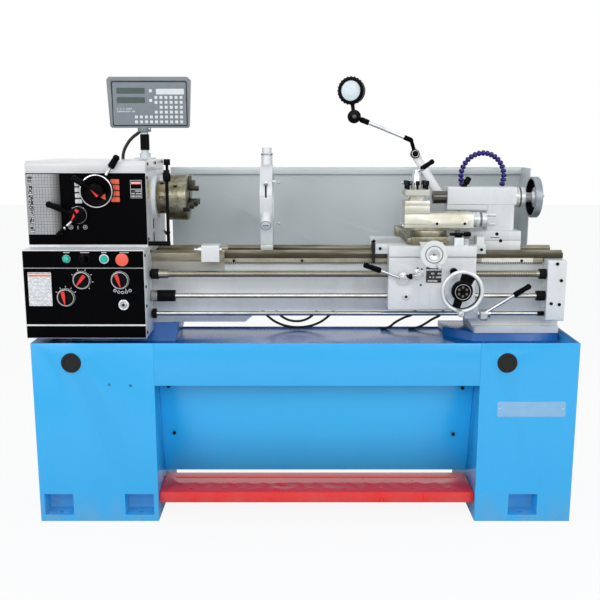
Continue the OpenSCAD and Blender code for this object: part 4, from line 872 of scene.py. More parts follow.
    def stamp(self, places: Iterable[Matrix]) -> "Piece":
        """Repeat the piece at each place, each copy with its own mesh, and join the copies.

        Args:
            places: Where the copies go.

        Returns:
            The joined piece.
        """
        source = self.obj
        self.alone()
        twins = []
        for place in places:
            twin = source.copy()
            twin.data = source.data.copy()
            twin.data.transform(place)
            bpy.context.scene.collection.objects.link(twin)
            twins.append(twin)
        name = source.name
        bpy.data.objects.remove(source)
        for twin in twins:
            twin.select_set(True)
        bpy.context.view_layer.objects.active = twins[0]
        if len(twins) > 1:
            bpy.ops.object.join()
        self.obj = twins[0]
        self.obj.name = name
        return self

    def join(self, others: Iterable["Piece"]) -> "Piece":
        """Join other pieces to this one; each keeps its own finish."""
        self.alone()
        for other in others:
            other.obj.select_set(True)
        bpy.ops.object.join()
        return self

    def paint(self, finish: Finish) -> "Piece":
        """Give the piece one finish."""
        self.obj.data.materials.clear()
        self.obj.data.materials.append(finish.material())
        return self

    def paint_faces(self, finish: Finish, faces: Chooser) -> "Piece":
        """Give the faces meant a finish of their own."""
        mesh = self.obj.data
        mesh.materials.append(finish.material())
        slot = len(mesh.materials) - 1
        for face in mesh.polygons:
            if faces(face.center, face.normal):
                face.material_index = slot
        return self

    def ride(self, body: str) -> "Piece":
        """Let the piece move with a body."""
        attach(self.obj, body)
        return self


def at(x: float, y: float, z: float) -> Matrix:
    """Return a shift."""
    return Matrix.Translation((x, y, z))


def spun(angle: float, axis: Axis = Axis.Y) -> Matrix:
    """Return a turn about an axis through the origin, in degrees."""
    return Matrix.Rotation(math.radians(angle), 4, axis.name)


def facing(x: float, y: float, z: float, way: Point = (0.0, -1.0, 0.0)) -> Matrix:
    """Return a place for a piece that is modelled standing on the origin along Z.

    Args:
        x: Where its foot goes.
        y: Where its foot goes.
        z: Where its foot goes.
        way: The way that its Z turns to.

    Returns:
        The place.
    """
    return Matrix.Translation((x, y, z)) @ Vector(way).to_track_quat("Z", "Y").to_matrix().to_4x4()


def skin(node: str, width: float, finish: Finish, body: str = "") -> Piece:
    """Stand a softened and dressed copy in for a CAD node.

    Args:
        node: The node.
        width: Width of the rounding of its edges.
        finish: Its finish.
        body: The body that it rides, where that hasn't the node's name.

    Returns:
        The piece.
    """
    return Piece.soft(node, width).paint(finish).ride(body or node)


def dress(node: str, finish: Finish) -> None:
    """Give a CAD node's own mesh a finish."""
    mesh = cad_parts[node].data
    mesh.materials.clear()
    mesh.materials.append(finish.material())


# ---- Finishes in use ----

WHITE = CastingPaint("casting_white", paint_colour(227, 230, 232), 0.34, coat=0.35)
LID_WHITE = CastingPaint("lid_white", paint_colour(226, 227, 226), 0.3, coat=0.4, stain=0.12)
# The bed's ways get nearly black flanks and lighter tops: painted shade and painted light.
BED_WHITE = WayCasting("bed_white", paint_colour(236, 238, 236), 0.34, coat=0.25, flat_z=0.866,
                       steel=(0.07, 0.065, 0.045), grime=(0.045, 0.04, 0.02))
BLUE = SheetPaint("stand_blue", paint_colour(42, 177, 241), 0.24, coat=0.4)
# The tray is the stand's blue made darker: painted shade inside the tray.
TRAY_SHADE_BLUE = SheetPaint("tray_blue", paint_colour(6, 106, 184), 0.26, coat=0.2, dust=(0.5, 0.5, 0.45), dust_top=0.1)
# The kick panel is the stand's blue made lighter: painted light on the recessed panel.
KICK_LIT_BLUE = SheetPaint("kick_blue", paint_colour(44, 188, 255), 0.24, coat=0.4)
RED = SheetPaint("brake_red", paint_colour(240, 26, 14), 0.3, coat=0.3, wear=0.4)
GUARD_GREY = SheetPaint("guard_grey", paint_colour(211, 218, 220), 0.24, coat=0.3, wear=0.05)
SHEEN = Finish("bright_chrome", (0.72, 0.73, 0.75), 0.14, 1.0)
DULL_CHROME = MachinedSteel("satin_chrome", (0.6, 0.62, 0.64), 0.28, 0.95, stain=0.12)
DARK_STEEL = MachinedSteel("oiled_dark", (0.1, 0.095, 0.08), 0.38, 0.7, stain=0.6)
BLACK_OXIDE = Finish("black_oxide", (0.008, 0.008, 0.009), 0.24, shine=0.05)
BLACK_PLASTIC = Finish("black_plastic", (0.003, 0.003, 0.0035), 0.16, shine=0.05)
PANEL_BLACK = Finish("panel_black", (0.002, 0.002, 0.0025), 0.3, shine=0.02)
# GREEN glows on the pilot lamp, and on the start button as painted light.
GREEN = Glow("green_lens", paint_colour(38, 176, 158), 0.25, strength=0.1)
CORAL = Finish("coral_red", paint_colour(246, 98, 74), 0.32, coat=0.3)
POST_STEEL = MachinedSteel("post_steel", (0.66, 0.655, 0.59), 0.34, 0.5, oil=(0.42, 0.37, 0.2), stain=0.6)
CHUCK_STEEL = Corroded("chuck_steel", (0.3, 0.29, 0.22), 0.2, 1.0, film=(0.05, 0.042, 0.012))
HOSE_PURPLE = Finish("hose_purple", paint_colour(30, 14, 112), 0.22, shine=0.4)
LAMP_WHITE = CastingPaint("lamp_white", paint_colour(238, 240, 241), 0.3, coat=0.4, stain=0.0)
CASE_GREY = Finish("readout_grey", paint_colour(128, 134, 138), 0.4)
CONDUIT = Finish("conduit_black", (0.012, 0.012, 0.013), 0.4, shine=0.3)
RUBBER = Finish("rubber_black", (0.012, 0.012, 0.012), 0.6, shine=0.25)
LABEL = Finish("label_white", paint_colour(232, 234, 235), 0.45)
ORANGE = Finish("label_orange", paint_colour(240, 104, 74), 0.45)
PLATE_BLUE = Finish("plate_blue", paint_colour(140, 190, 228), 0.3, 0.2, 0.3)
POINTER_RED = Finish("pointer_red", paint_colour(236, 40, 40), 0.35, 0.0, 0.3)
GAP_IRON = WayCasting("gap_iron", (0.5, 0.48, 0.43), 0.36, coat=0.15, flat_z=0.866, stain=0.7, steel=(0.46, 0.43, 0.35),
                      grime=(0.16, 0.13, 0.07), top=(0.5, 0.46, 0.35))
JAW_STEEL = MachinedSteel("jaw_steel", (0.05, 0.048, 0.04), 0.26, 0.85, oil=(0.02, 0.018, 0.012), stain=0.6)
OLIVE_STEEL = MachinedSteel("olive_steel", (0.33, 0.31, 0.23), 0.32, 0.8, oil=(0.055, 0.045, 0.018), stain=0.9)
RIM_CHROME = MachinedSteel("rim_chrome", (0.74, 0.76, 0.77), 0.36, 0.5, stain=0.05, grain=Axis.Y)
PALE_STEEL = CastingPaint("steady_paint", paint_colour(214, 218, 220), 0.34, 0.1, 0.3)
# Grey for seams and split lines, and for painted shade in grooves and round edges.
SHADOW_GREY = Finish("seam_grey", (0.3, 0.31, 0.32), 0.6)
LENS = Glow("lamp_glass", paint_colour(196, 208, 214), 0.12, strength=0.25)
SCREEN = Finish("display_green", paint_colour(52, 78, 72), 0.2, 0.0, 0.5)
PANEL_GREY = Finish("panel_grey", paint_colour(126, 134, 142), 0.4)


def x_band(low: float, high: float, colour: Colour) -> Zone:
    """Return a dull zone between two places along X."""
    return Zone(((Measure.X, low, high),), colour, 0.0, 0.3)


def grip_zone(tests: Tests, centre: Point = ORIGIN) -> Zone:
    """Return the zone of a lever's black grip."""
    return Zone(tests, BLACK_PLASTIC.colour, roughness=0.28, centre=centre)


# ---- Studio ----


@dataclass
class Studio:
    """The camera, a pale floor, soft lamps and an even white background."""

    camera_at: Point = (0.031, -2.85, 1.278)
    pitch: float = 10.9
    lens: float = 49.74
    floor_half: float = 14.0
    lamps: tuple[tuple[Point, Point, float, float], ...] = (
        ((-2.4, -2.8, 2.3), (-0.2, 0.0, 0.7), 2.0, 35.0),
        ((2.6, -2.7, 1.9), (0.2, 0.0, 0.6), 2.0, 26.0),
        ((0.1, 0.3, 3.6), (0.0, 0.0, 0.9), 3.0, 14.0),
        ((0.2, -3.4, 2.6), (0.0, 0.0, 0.5), 2.0, 35.0),
    )

    def build(self) -> None:
        """Set the camera, floor, lamps and background."""
        self.aim()
        self.floor()
        self.surround()
        for index, (place, target, size, power) in enumerate(self.lamps):
            self.lamp(f"lamp_{index}", place, target, size, power)

    def aim(self) -> None:
        """Place the camera."""
        bpy.ops.object.camera_add(location=self.camera_at, rotation=(math.radians(90 - self.pitch), 0.0, 0.0))
        camera = bpy.context.active_object
        camera.data.lens = self.lens
        camera.data.sensor_width = 36.0
        bpy.context.scene.camera = camera

    def floor(self) -> None:
        """Lay the floor: white, and brightened for the camera so that only the shadow shows."""
        bpy.ops.mesh.primitive_plane_add(size=2 * self.floor_half, location=(0.0, 0.0, -0.0005))
        piece = Piece("floor").settle()
        graph = Graph("floor_white")
        cloud = graph.noise(1.5, 2.0)
        graph.set(Base_Color=graph.blend(cloud, (0.86, 0.865, 0.87), (0.9, 0.905, 0.91)), Roughness=0.6)
        glow = graph.node("ShaderNodeEmission", None, {"Color": (1.0, 1.0, 1.0), "Strength": 1.0})
        ray = graph.node("ShaderNodeLightPath")
        share = Wire(graph, ray.outputs["Is Camera Ray"]) * 0.9
        mixed = graph.node("ShaderNodeMixShader", None, {0: share})
        graph.tree.links.new(graph.shader.outputs[0], mixed.inputs[1])
        graph.tree.links.new(glow.outputs[0], mixed.inputs[2])
        graph.tree.links.new(mixed.outputs[0], graph.output.inputs[0])
        piece.obj.data.materials.append(graph.material)

    def surround(self) -> None:
        """Make the background white to the camera and in reflections, and as a light soft and dim at eye level."""
        world = bpy.data.worlds.new("studio")
        bpy.context.scene.world = world
        world.use_nodes = True
        bpy.context.scene.view_settings.view_transform = "Standard"
        tree = world.node_tree
        tree.nodes.clear()
        add, join = tree.nodes.new, tree.links.new
        path = add("ShaderNodeLightPath")
        seen = path.outputs["Is Camera Ray"]
        for ray in ("Is Transmission Ray", "Is Glossy Ray"):
            either = add("ShaderNodeMath")
            either.operation = "MAXIMUM"
            join(seen, either.inputs[0])
            join(path.outputs[ray], either.inputs[1])
            seen = either.outputs[0]
        soft, white = add("ShaderNodeBackground"), add("ShaderNodeBackground")
        soft.inputs["Color"].default_value = (0.9, 0.95, 1.0, 1.0)
        white.inputs["Color"].default_value = (1.0, 1.0, 1.0, 1.0)
        split, rise = add("ShaderNodeSeparateXYZ"), add("ShaderNodeMapRange")
        for slot, value in {"From Min": 0.0, "From Max": 0.8, "To Min": 0.1, "To Max": 0.6}.items():
            rise.inputs[slot].default_value = value
        join(add("ShaderNodeTexCoord").outputs["Generated"], split.inputs[0])
        join(split.outputs["Z"], rise.inputs["Value"])
        join(rise.outputs["Result"], soft.inputs["Strength"])
        mix = add("ShaderNodeMixShader")
        join(seen, mix.inputs[0])
        join(soft.outputs[0], mix.inputs[1])
        join(white.outputs[0], mix.inputs[2])
        join(mix.outputs[0], add("ShaderNodeOutputWorld").inputs[0])

    def lamp(self, name: str, place: Point, target: Point, size: float, power: float) -> None:
        """Hang a square area lamp.

        Args:
            name: Its name.
            place: Where it hangs.
            target: What it points at.
            size: Its side.
            power: Its power in watts.
        """
        turn = (Vector(target) - Vector(place)).to_track_quat("-Z", "Y").to_euler()
        bpy.ops.object.light_add(type="AREA", location=place, rotation=turn)
        light = bpy.context.active_object
        light.name = name
        light.data.shape = "SQUARE"
        light.data.size = size
        light.data.energy = power


# ---- Sub-assemblies ----


@dataclass
class Hardware:
    """Small parts that many sub-assemblies share, each modelled once on the origin and pointing along Z."""

    def cap_screw(self, name: str, radius: float, height: float) -> Piece:
        """Model a socket-head screw.

        Args:
            name: The piece's name.
            radius: The head's radius.
            height: The head's height.

        Returns:
            The piece.
        """
        edge = radius * 0.14
        profile = [(-0.001, radius), (height - edge, radius), (height, radius - edge), (height, radius * 0.52)]
        profile += [(height * 0.45, radius * 0.48), (height * 0.4, radius * 0.1)]
        return Piece.turned(name, Axis.Z, ORIGIN, profile, 18).smooth(30).paint(BLACK_OXIDE)

    def dome_screw(self, name: str, radius: float) -> Piece:
        """Model a round-head screw with its slot as a black block of painted shade."""
        profile = [(-0.001, radius), (radius * 0.25, radius), (radius * 0.55, radius * 0.75),
                   (radius * 0.65, radius * 0.3)]
        head = Piece.turned(name, Axis.Z, ORIGIN, profile, 20).smooth(40).paint(SHEEN)
        half = radius * 0.7
        low = (-half, -radius * 0.12, radius * 0.4)
        # The slot is a black block: painted shade in the slot.
        slot = Piece.block(f"{name}_slot", low, (half, radius * 0.12, radius * 0.68)).bevel(radius * 0.05, 1)
        return head.join([slot.paint(BLACK_OXIDE)])

    def tick_ring(self, name: str, low: Point, high: Point, axis: Axis, centre: Point, count: int) -> Piece:
        """Repeat one dark line evenly round an axis.

        Args:
            name: The piece's name.
            low: The line's lowest corner, about the origin.
            high: Its highest corner.
            axis: The axis that the lines stand round.
            centre: A point on that axis.
            count: How many lines there are.

        Returns:
            The piece.
        """
        tick = Piece.block(name, low, high).paint(BLACK_OXIDE)
        return tick.stamp([at(*centre) @ spun(360 / count * index, axis) for index in range(count)])

    def ball(self, name: str, radius: float, finish: Finish) -> Piece:
        """Model a ball knob with its neck."""
        profile = [(-radius * 1.15, radius * 0.42), (-radius * 0.86, radius * 0.5)]
        for step in range(-4, 9):
            angle = math.radians(step * 10.6)
            profile.append((radius * math.sin(angle), radius * math.cos(angle)))
        profile.append((radius, radius * 0.05))
        return Piece.turned(name, Axis.Z, ORIGIN, profile, 24).smooth(60).paint(finish)


@dataclass
class Stand:
    """The two cabinets, the tray between them, the kick panel and the foot brake."""

    front: float = -0.2102
    plug_face: float = -0.2122
    plugs: tuple[Spot, ...] = ((-0.722, 0.559), (0.713, 0.559))
    vents: tuple[Spot, ...] = ((-0.6, 0.484), (-0.53, 0.481))
    panel_screws: tuple[Point, ...] = ((-0.419, -0.12, 0.452), (-0.41, -0.08, 0.27), (0.588, -0.12, 0.446),
                                       (0.569, -0.08, 0.265))
    plate: Box = (0.687, 0.915, 0.373, 0.426)

    def build(self) -> None:
        """Build and dress the stand."""
        # The kick panel takes the lighter blue as painted light.
        for node, finish in (("left_cabinet", BLUE), ("right_cabinet", BLUE), ("kick_panel", KICK_LIT_BLUE)):
            skin(node, 0.0016, finish, "machine")
        # The tray's darker blue is painted shade; only its front faces take the stand's own blue.
        tray = skin("chip_tray", EDGE, TRAY_SHADE_BLUE, "machine")
        tray.paint_faces(BLUE, lambda middle, normal: normal.y < -0.5 and middle.y < -0.19)
        skin("foot_brake", 0.001, RED, "treadle")
        self.fittings()
        self.name_plate()

    def fittings(self) -> None:
        """Add the plugs, the small holes as black discs of painted shade, and the screws."""
        profile = [(-0.002, 0.033), (0.0015, 0.033), (0.0035, 0.031), (0.0035, 0.024), (0.001, 0.022), (0.0005, 0.004)]
        plug = Piece.turned("stand_plugs", Axis.Z, ORIGIN, profile, 40).smooth(30).paint(RUBBER)
        plug.stamp([facing(x, self.plug_face, z) for x, z in self.plugs]).ride("machine")
        # Each small hole is a black disc: painted shade inside the hole.
        profile = [(-0.001, 0.0042), (0.0006, 0.0042), (0.001, 0.003), (-0.0005, 0.0025)]
        hole = Piece.turned("cabinet_holes", Axis.Z, ORIGIN, profile, 14).paint(BLACK_OXIDE)
        hole.stamp([facing(x, self.front, z) for x, z in self.vents]).ride("machine")
        screw = Hardware().cap_screw("kick_screws", 0.006, 0.004)
        slope = Vector((0.0, -1.0, -0.2)).normalized()
        screw.stamp([facing(x, y, z, slope) for x, y, z in self.panel_screws]).ride("machine")

    def name_plate(self) -> None:
        """Rivet the bare plate to the right cabinet."""
        x0, x1, z0, z1 = self.plate
        plate = Piece.block("bare_plate", (x0, self.front - 0.0012, z0), (x1, self.front + 0.001, z1))
        plate.corners(Axis.Y, 0.006).bevel(0.0004, 1)
        plate.inset(lambda middle, normal: normal.y < -0.9, 0.003, -0.0004).smooth().paint(PLATE_BLUE)
        rivet = Hardware().dome_screw("plate_rivets", 0.0032)
        middle = (z0 + z1) / 2
        rivet.stamp([facing(x, self.front - 0.0008, middle) for x in (x0 + 0.008, x1 - 0.008)])
        plate.join([rivet]).ride("machine")


@dataclass
class Headstock:
    """The geared head with its lid, its printed panels and the gearbox in front of the bed."""

    face: float = -0.07
    upper: Box = (-0.8815, -0.4825, 0.933, 1.1715)
    chart: Box = (-0.8805, -0.768, 0.967, 1.168)
    table: Box = (-0.8735, -0.8595, 0.974, 1.16)
    low_face: float = -0.15
    lower: tuple[Spot, ...] = ((0.6295, 0.6695), (0.6755, 0.8635), (0.8665, 0.9215))
    notice: Box = (-0.867, -0.79, 0.738, 0.851)
    small_notice: Box = (-0.5335, -0.4955, 1.089, 1.148)
    way_marks: tuple[Spot, ...] = ((-0.738, 0.992), (-0.69, 0.992))
    captions: tuple[tuple[str, float, float], ...] = (
        ("pilot", -0.7355, 0.021), ("mode", -0.675, 0.029), ("start", -0.612, 0.017), ("stop", -0.5455, 0.03))
    label_rows: tuple[float, ...] = (1.0785, 1.0975, 1.1165, 1.1355)
    side_screws: tuple[Spot, ...] = (
        (-0.135, 0.905), (-0.135, 0.8), (-0.135, 0.735), (-0.135, 0.645), (-0.025, 0.905),
        (-0.05, 1.155), (0.285, 1.155), (-0.055, 0.95), (0.285, 0.94), (-0.03, 1.2), (0.12, 1.2), (0.27, 1.2))

    def build(self) -> None:
        """Build and dress the head."""
        for node in ("headstock", "gearbox", "end_cover"):
            skin(node, EDGE, WHITE, "machine")
        skin("headstock_cover", 0.002, LID_WHITE, "machine")
        self.upper_panel()
        self.lower_panel()
        self.labels()
        self.side()

    def sheet(self, name: str, box: Box, face: float, rise: float, finish: Finish, corner: float = 0.0) -> Piece:
        """Lay a thin plate on a face that looks to the operator.

        Args:
            name: The piece's name.
            box: Its X and Z limits.
            face: Y of the face that carries it.
            rise: How far it stands out.
            finish: Its finish.
            corner: Radius of its corners.

        Returns:
            The piece.
        """
        x0, x1, z0, z1 = box
        piece = Piece.block(name, (x0, face - rise, z0), (x1, face + 0.0006, z1))
        if corner:
            piece.corners(Axis.Y, corner, 4)
        return piece.bevel(min(0.0004, rise * 0.4), 1).smooth().paint(finish)

    def upper_panel(self) -> None:
        """Lay the black panel with its chart, its table and its marks."""
        self.sheet("head_panel", self.upper, self.face, PANEL_RISE, PANEL_BLACK, 0.003).ride("machine")
        _, x1, z0, _ = self.chart
        chart = Ruled("feed_chart", (0.55, 0.56, 0.57), 0.3, 0.5, centre=(x1, 0.0, z0), column=0.0098,
                      row=0.0112, fade=0.018)
        self.sheet("chart_plate", self.chart, self.face - PANEL_RISE, 0.0006, chart).ride("machine")
        table = Printed("pitch_table", (0.02, 0.02, 0.02), 0.4, centre=(self.table[0], 0.0, self.table[2]),
                        ink=(0.75, 0.76, 0.77), row=0.0062, word=0.0034, fill=0.62, cover=0.66)
        self.sheet("table_plate", self.table, self.face - 0.0018, 0.0004, table).ride("machine")
        for index, z in enumerate(self.label_rows):
            left = Printed(f"left_label_{index}", LABEL.colour, 0.4, centre=(-0.7185, 0.0, z - 0.0072),
                           row=0.0036, word=0.003, fill=0.44, cover=0.55)
            box = (-0.719, -0.696, z - 0.0073, z + 0.0073)
            self.sheet(f"speed_label_{index}", box, self.face - PANEL_RISE, 0.0005, left, 0.0022).ride("machine")
            z += 0.006 + index * 0.0006
            right = Printed(f"right_label_{index}", ORANGE.colour, 0.4, centre=(-0.5985, 0.0, z - 0.0082),
                            ink=(0.3, 0.03, 0.02), row=0.0041, word=0.0035, fill=0.44, cover=0.6)
            box = (-0.599, -0.57, z - 0.0083, z + 0.0083)
            self.sheet(f"range_label_{index}", box, self.face - PANEL_RISE, 0.0005, right, 0.0022).ride("machine")

    def labels(self) -> None:
        """Outline the small notice and the two-way mark."""
        y = self.face - PANEL_RISE
        x0, x1, z0, z1 = self.small_notice
        line, gap, middle = 0.001, 0.003, 1.1185
        bars = [(x0, x1, z0, z0 + line), (x0, x1, z1 - line, z1), (x0, x1, middle - 0.0008, middle + 0.0008)]
        bars += [(x0, x0 + line, z0, z1), (x1 - line, x1, z0, z1)]
        outline = [self.sheet(f"notice_bar_{index}", bar, y, PRINT_RISE, LABEL) for index, bar in enumerate(bars)]
        red = Printed("notice_red", (0.62, 0.04, 0.03), 0.4, centre=(x0, 0.0, 1.1345), ink=(0.9, 0.9, 0.9),
                      row=0.009, word=0.004, fill=0.5, cover=0.9)
        words = Printed("notice_words", PRINT_BLACK, 0.4, centre=(x0 + gap, 0.0, z0 + 0.002), ink=(0.7, 0.7, 0.7),
                        row=0.0085, word=0.004, fill=0.42, cover=0.8)
        parts = [self.sheet("notice_head", (x0 + gap, x1 - gap, 1.134, 1.1445), y, PRINT_RISE, red)]
        parts += [self.sheet("notice_text", (x0 + gap, x1 - gap, z0 + gap, 1.116), y, 0.00025, words)]
        outline[0].join(outline[1:] + parts).ride("machine")
        ring = Piece.ring("way_marks", Axis.Y, ORIGIN, 0.0066, 0.0007, 28).paint(LABEL)
        ring.stamp([at(x, y, z) for x, z in self.way_marks])
        bar = self.sheet("way_bar", (-0.715, -0.7135, 0.985, 0.996), y, PRINT_RISE, LABEL)
        dots = Hardware().dome_screw("way_dots", 0.0022).paint(LABEL)
        dots.stamp([facing(x, y + PRINT_RISE, z) for x, z in self.way_marks])
        ring.join([bar, dots]).ride("machine")

    def lower_panel(self) -> None:
        """Lay the gearbox's panels, its notice, its bezels and its marks."""
        y = self.low_face
        x0, x1 = -0.8805, -0.4835
        for index, (z0, z1) in enumerate(self.lower):
            self.sheet(f"gear_panel_{index}", (x0, x1, z0, z1), y, PANEL_RISE, PANEL_BLACK, 0.0015).ride("machine")
        self.sheet("panel_line", (x0, x1, 0.8642, 0.8658), y, 0.0006, SHADOW_GREY).ride("machine")
        self.sheet("panel_gap", (x0, x1, 0.6695, 0.6755), y, 0.001, LABEL).ride("machine")
        nx0, nx1, nz0, nz1 = self.notice
        words = Printed("notice_lines", LABEL.colour, 0.45, centre=(nx0 + 0.004, 0.0, nz0 + 0.003),
                        ink=(0.25, 0.27, 0.3), row=0.0046, word=0.005, fill=0.36, cover=0.78)
        head = Printed("notice_band", (0.7, 0.09, 0.06), 0.45, centre=(nx0, 0.0, nz1 - 0.0135),
                       ink=(0.9, 0.88, 0.86), row=0.012, word=0.006, fill=0.36, cover=0.85)
        plate = self.sheet("notice_plate", self.notice, y - PANEL_RISE, 0.0005, words, 0.002)
        box = (nx0 + 0.002, nx1 - 0.002, nz1 - 0.0135, nz1 - 0.0035)
        plate.join([self.sheet("notice_band", box, y - 0.0015, 0.0005, head)]).ride("machine")
        for name, x, width in self.captions:
            words = Printed(f"{name}_words", PRINT_BLACK, 0.4, centre=(x - width / 2, 0.0, 0.9143),
                            ink=(0.8, 0.81, 0.82), row=0.0048, word=0.0034, fill=0.5, cover=0.85)
            box = (x - width / 2, x + width / 2, 0.9145, 0.919)
            self.sheet(f"{name}_caption", box, y - PANEL_RISE, 0.0002, words).ride("machine")
        self.bezels(y - PANEL_RISE)
        self.ticks(y - 0.0013)

    def bezels(self, y: float) -> None:
        """Ring the lamp, the buttons, the switch and the lock, and light the lamp."""
        bold, thin = 0.0019, 0.0008
        buttons = ((PILOT_X, 0.0145), (START_X, 0.0155), (STOP_X, 0.0175), (MODE_X, 0.0168))
        rings = [(x, BUTTON_Z, radius, bold, BLACK_OXIDE) for x, radius in buttons]
        rings += [(x, z, 0.0298, thin, DULL_CHROME) for x, z in DIALS] + [(*LOCK, 0.0162, bold, SHEEN)]
        made = []
        for index, (x, z, radius, thick, finish) in enumerate(rings):
            made.append(Piece.ring(f"bezel_{index}", Axis.Y, (x, y - PANEL_RISE, z), radius, thick, 40).paint(finish))
        made[0].join(made[1:]).ride("machine")
        profile = [(0.0, 0.0128), (0.006, 0.0125), (0.0105, 0.0108), (0.0135, 0.0075), (0.0148, 0.003)]
        lens = Piece.turned("pilot_lens", Axis.Z, ORIGIN, profile, 32).smooth(60).paint(GREEN)
        lens.move(facing(PILOT_X, y - 0.0005, BUTTON_Z)).ride("machine")
        profile = [(0.0, 0.0108), (0.0045, 0.0108), (0.006, 0.0095), (0.006, 0.0055), (0.0042, 0.005), (0.0042, 0.0016)]
        lock = Piece.turned("panel_lock", Axis.Z, ORIGIN, profile, 28).smooth(30).paint(SHEEN)
        keyway = Piece.turned("lock_core", Axis.Z, ORIGIN, [(0.004, 0.0046), (0.0052, 0.0044)], 20).paint(BLACK_OXIDE)
        lock.join([keyway]).move(facing(LOCK[0], -0.1525, LOCK[1])).ride("machine")

    def ticks(self, y: float) -> None:
        """Print the marks round the three dials, and the row of rings under the third."""
        mark = Piece.block("dial_marks", (-0.0009, -0.0003, 0.0335),
                           (0.0009, 0.0004, 0.0385)).bevel(0.0002, 1).paint(LABEL)
        places = []
        for (x, z), (first, last, step) in zip(DIALS, ((-60, 140, 40), (-60, 60, 30), (-150, 150, 300))):
            places += [at(x, y, z) @ spun(angle) for angle in range(first, last + 1, step)]
        mark.stamp(places).ride("machine")
        ring = Piece.ring("dial_chain", Axis.Y, ORIGIN, 0.0042, 0.0009, 20).paint(LABEL)
        ring.stamp([at(-0.556 + 0.0125 * step, y, 0.7835 + 0.0016 * step * step)
                    for step in (-2, -1, 0, 1, 2)]).ride("machine")

    def side(self) -> None:
        """Add the label, the slots as black blocks of painted shade and the screws on the side that faces the chuck,
        and the lid's screws.
        """
        x = -0.482
        yellow = Printed("side_label", (0.62, 0.5, 0.08), 0.5, centre=(x, -0.04, 1.08), ink=(0.1, 0.09, 0.05),
                         row=0.006, word=0.004, fill=0.45, cover=0.8)
        label = Piece.block("side_label", (x - 0.0004, -0.045, 1.085),
                            (x + 0.0008, -0.02, 1.148)).bevel(0.0003, 1).paint(yellow)
        # The slots are black blocks: painted shade inside them.
        slots = Piece.block("side_slots", (x - 0.001, 0.045, -0.018),
                            (x + 0.0012, 0.06, 0.018)).corners(Axis.X, 0.006, 4)
        slots.paint(BLACK_OXIDE).stamp([at(0.0, 0.0, 0.992), at(0.0, 0.0, 0.945)])
        label.join([slots]).ride("machine")
        screw = Hardware().cap_screw("side_screws", 0.0055, 0.003)
        screw.stamp([facing(x, y, z, Axis.X.way) for y, z in self.side_screws]).ride("machine")


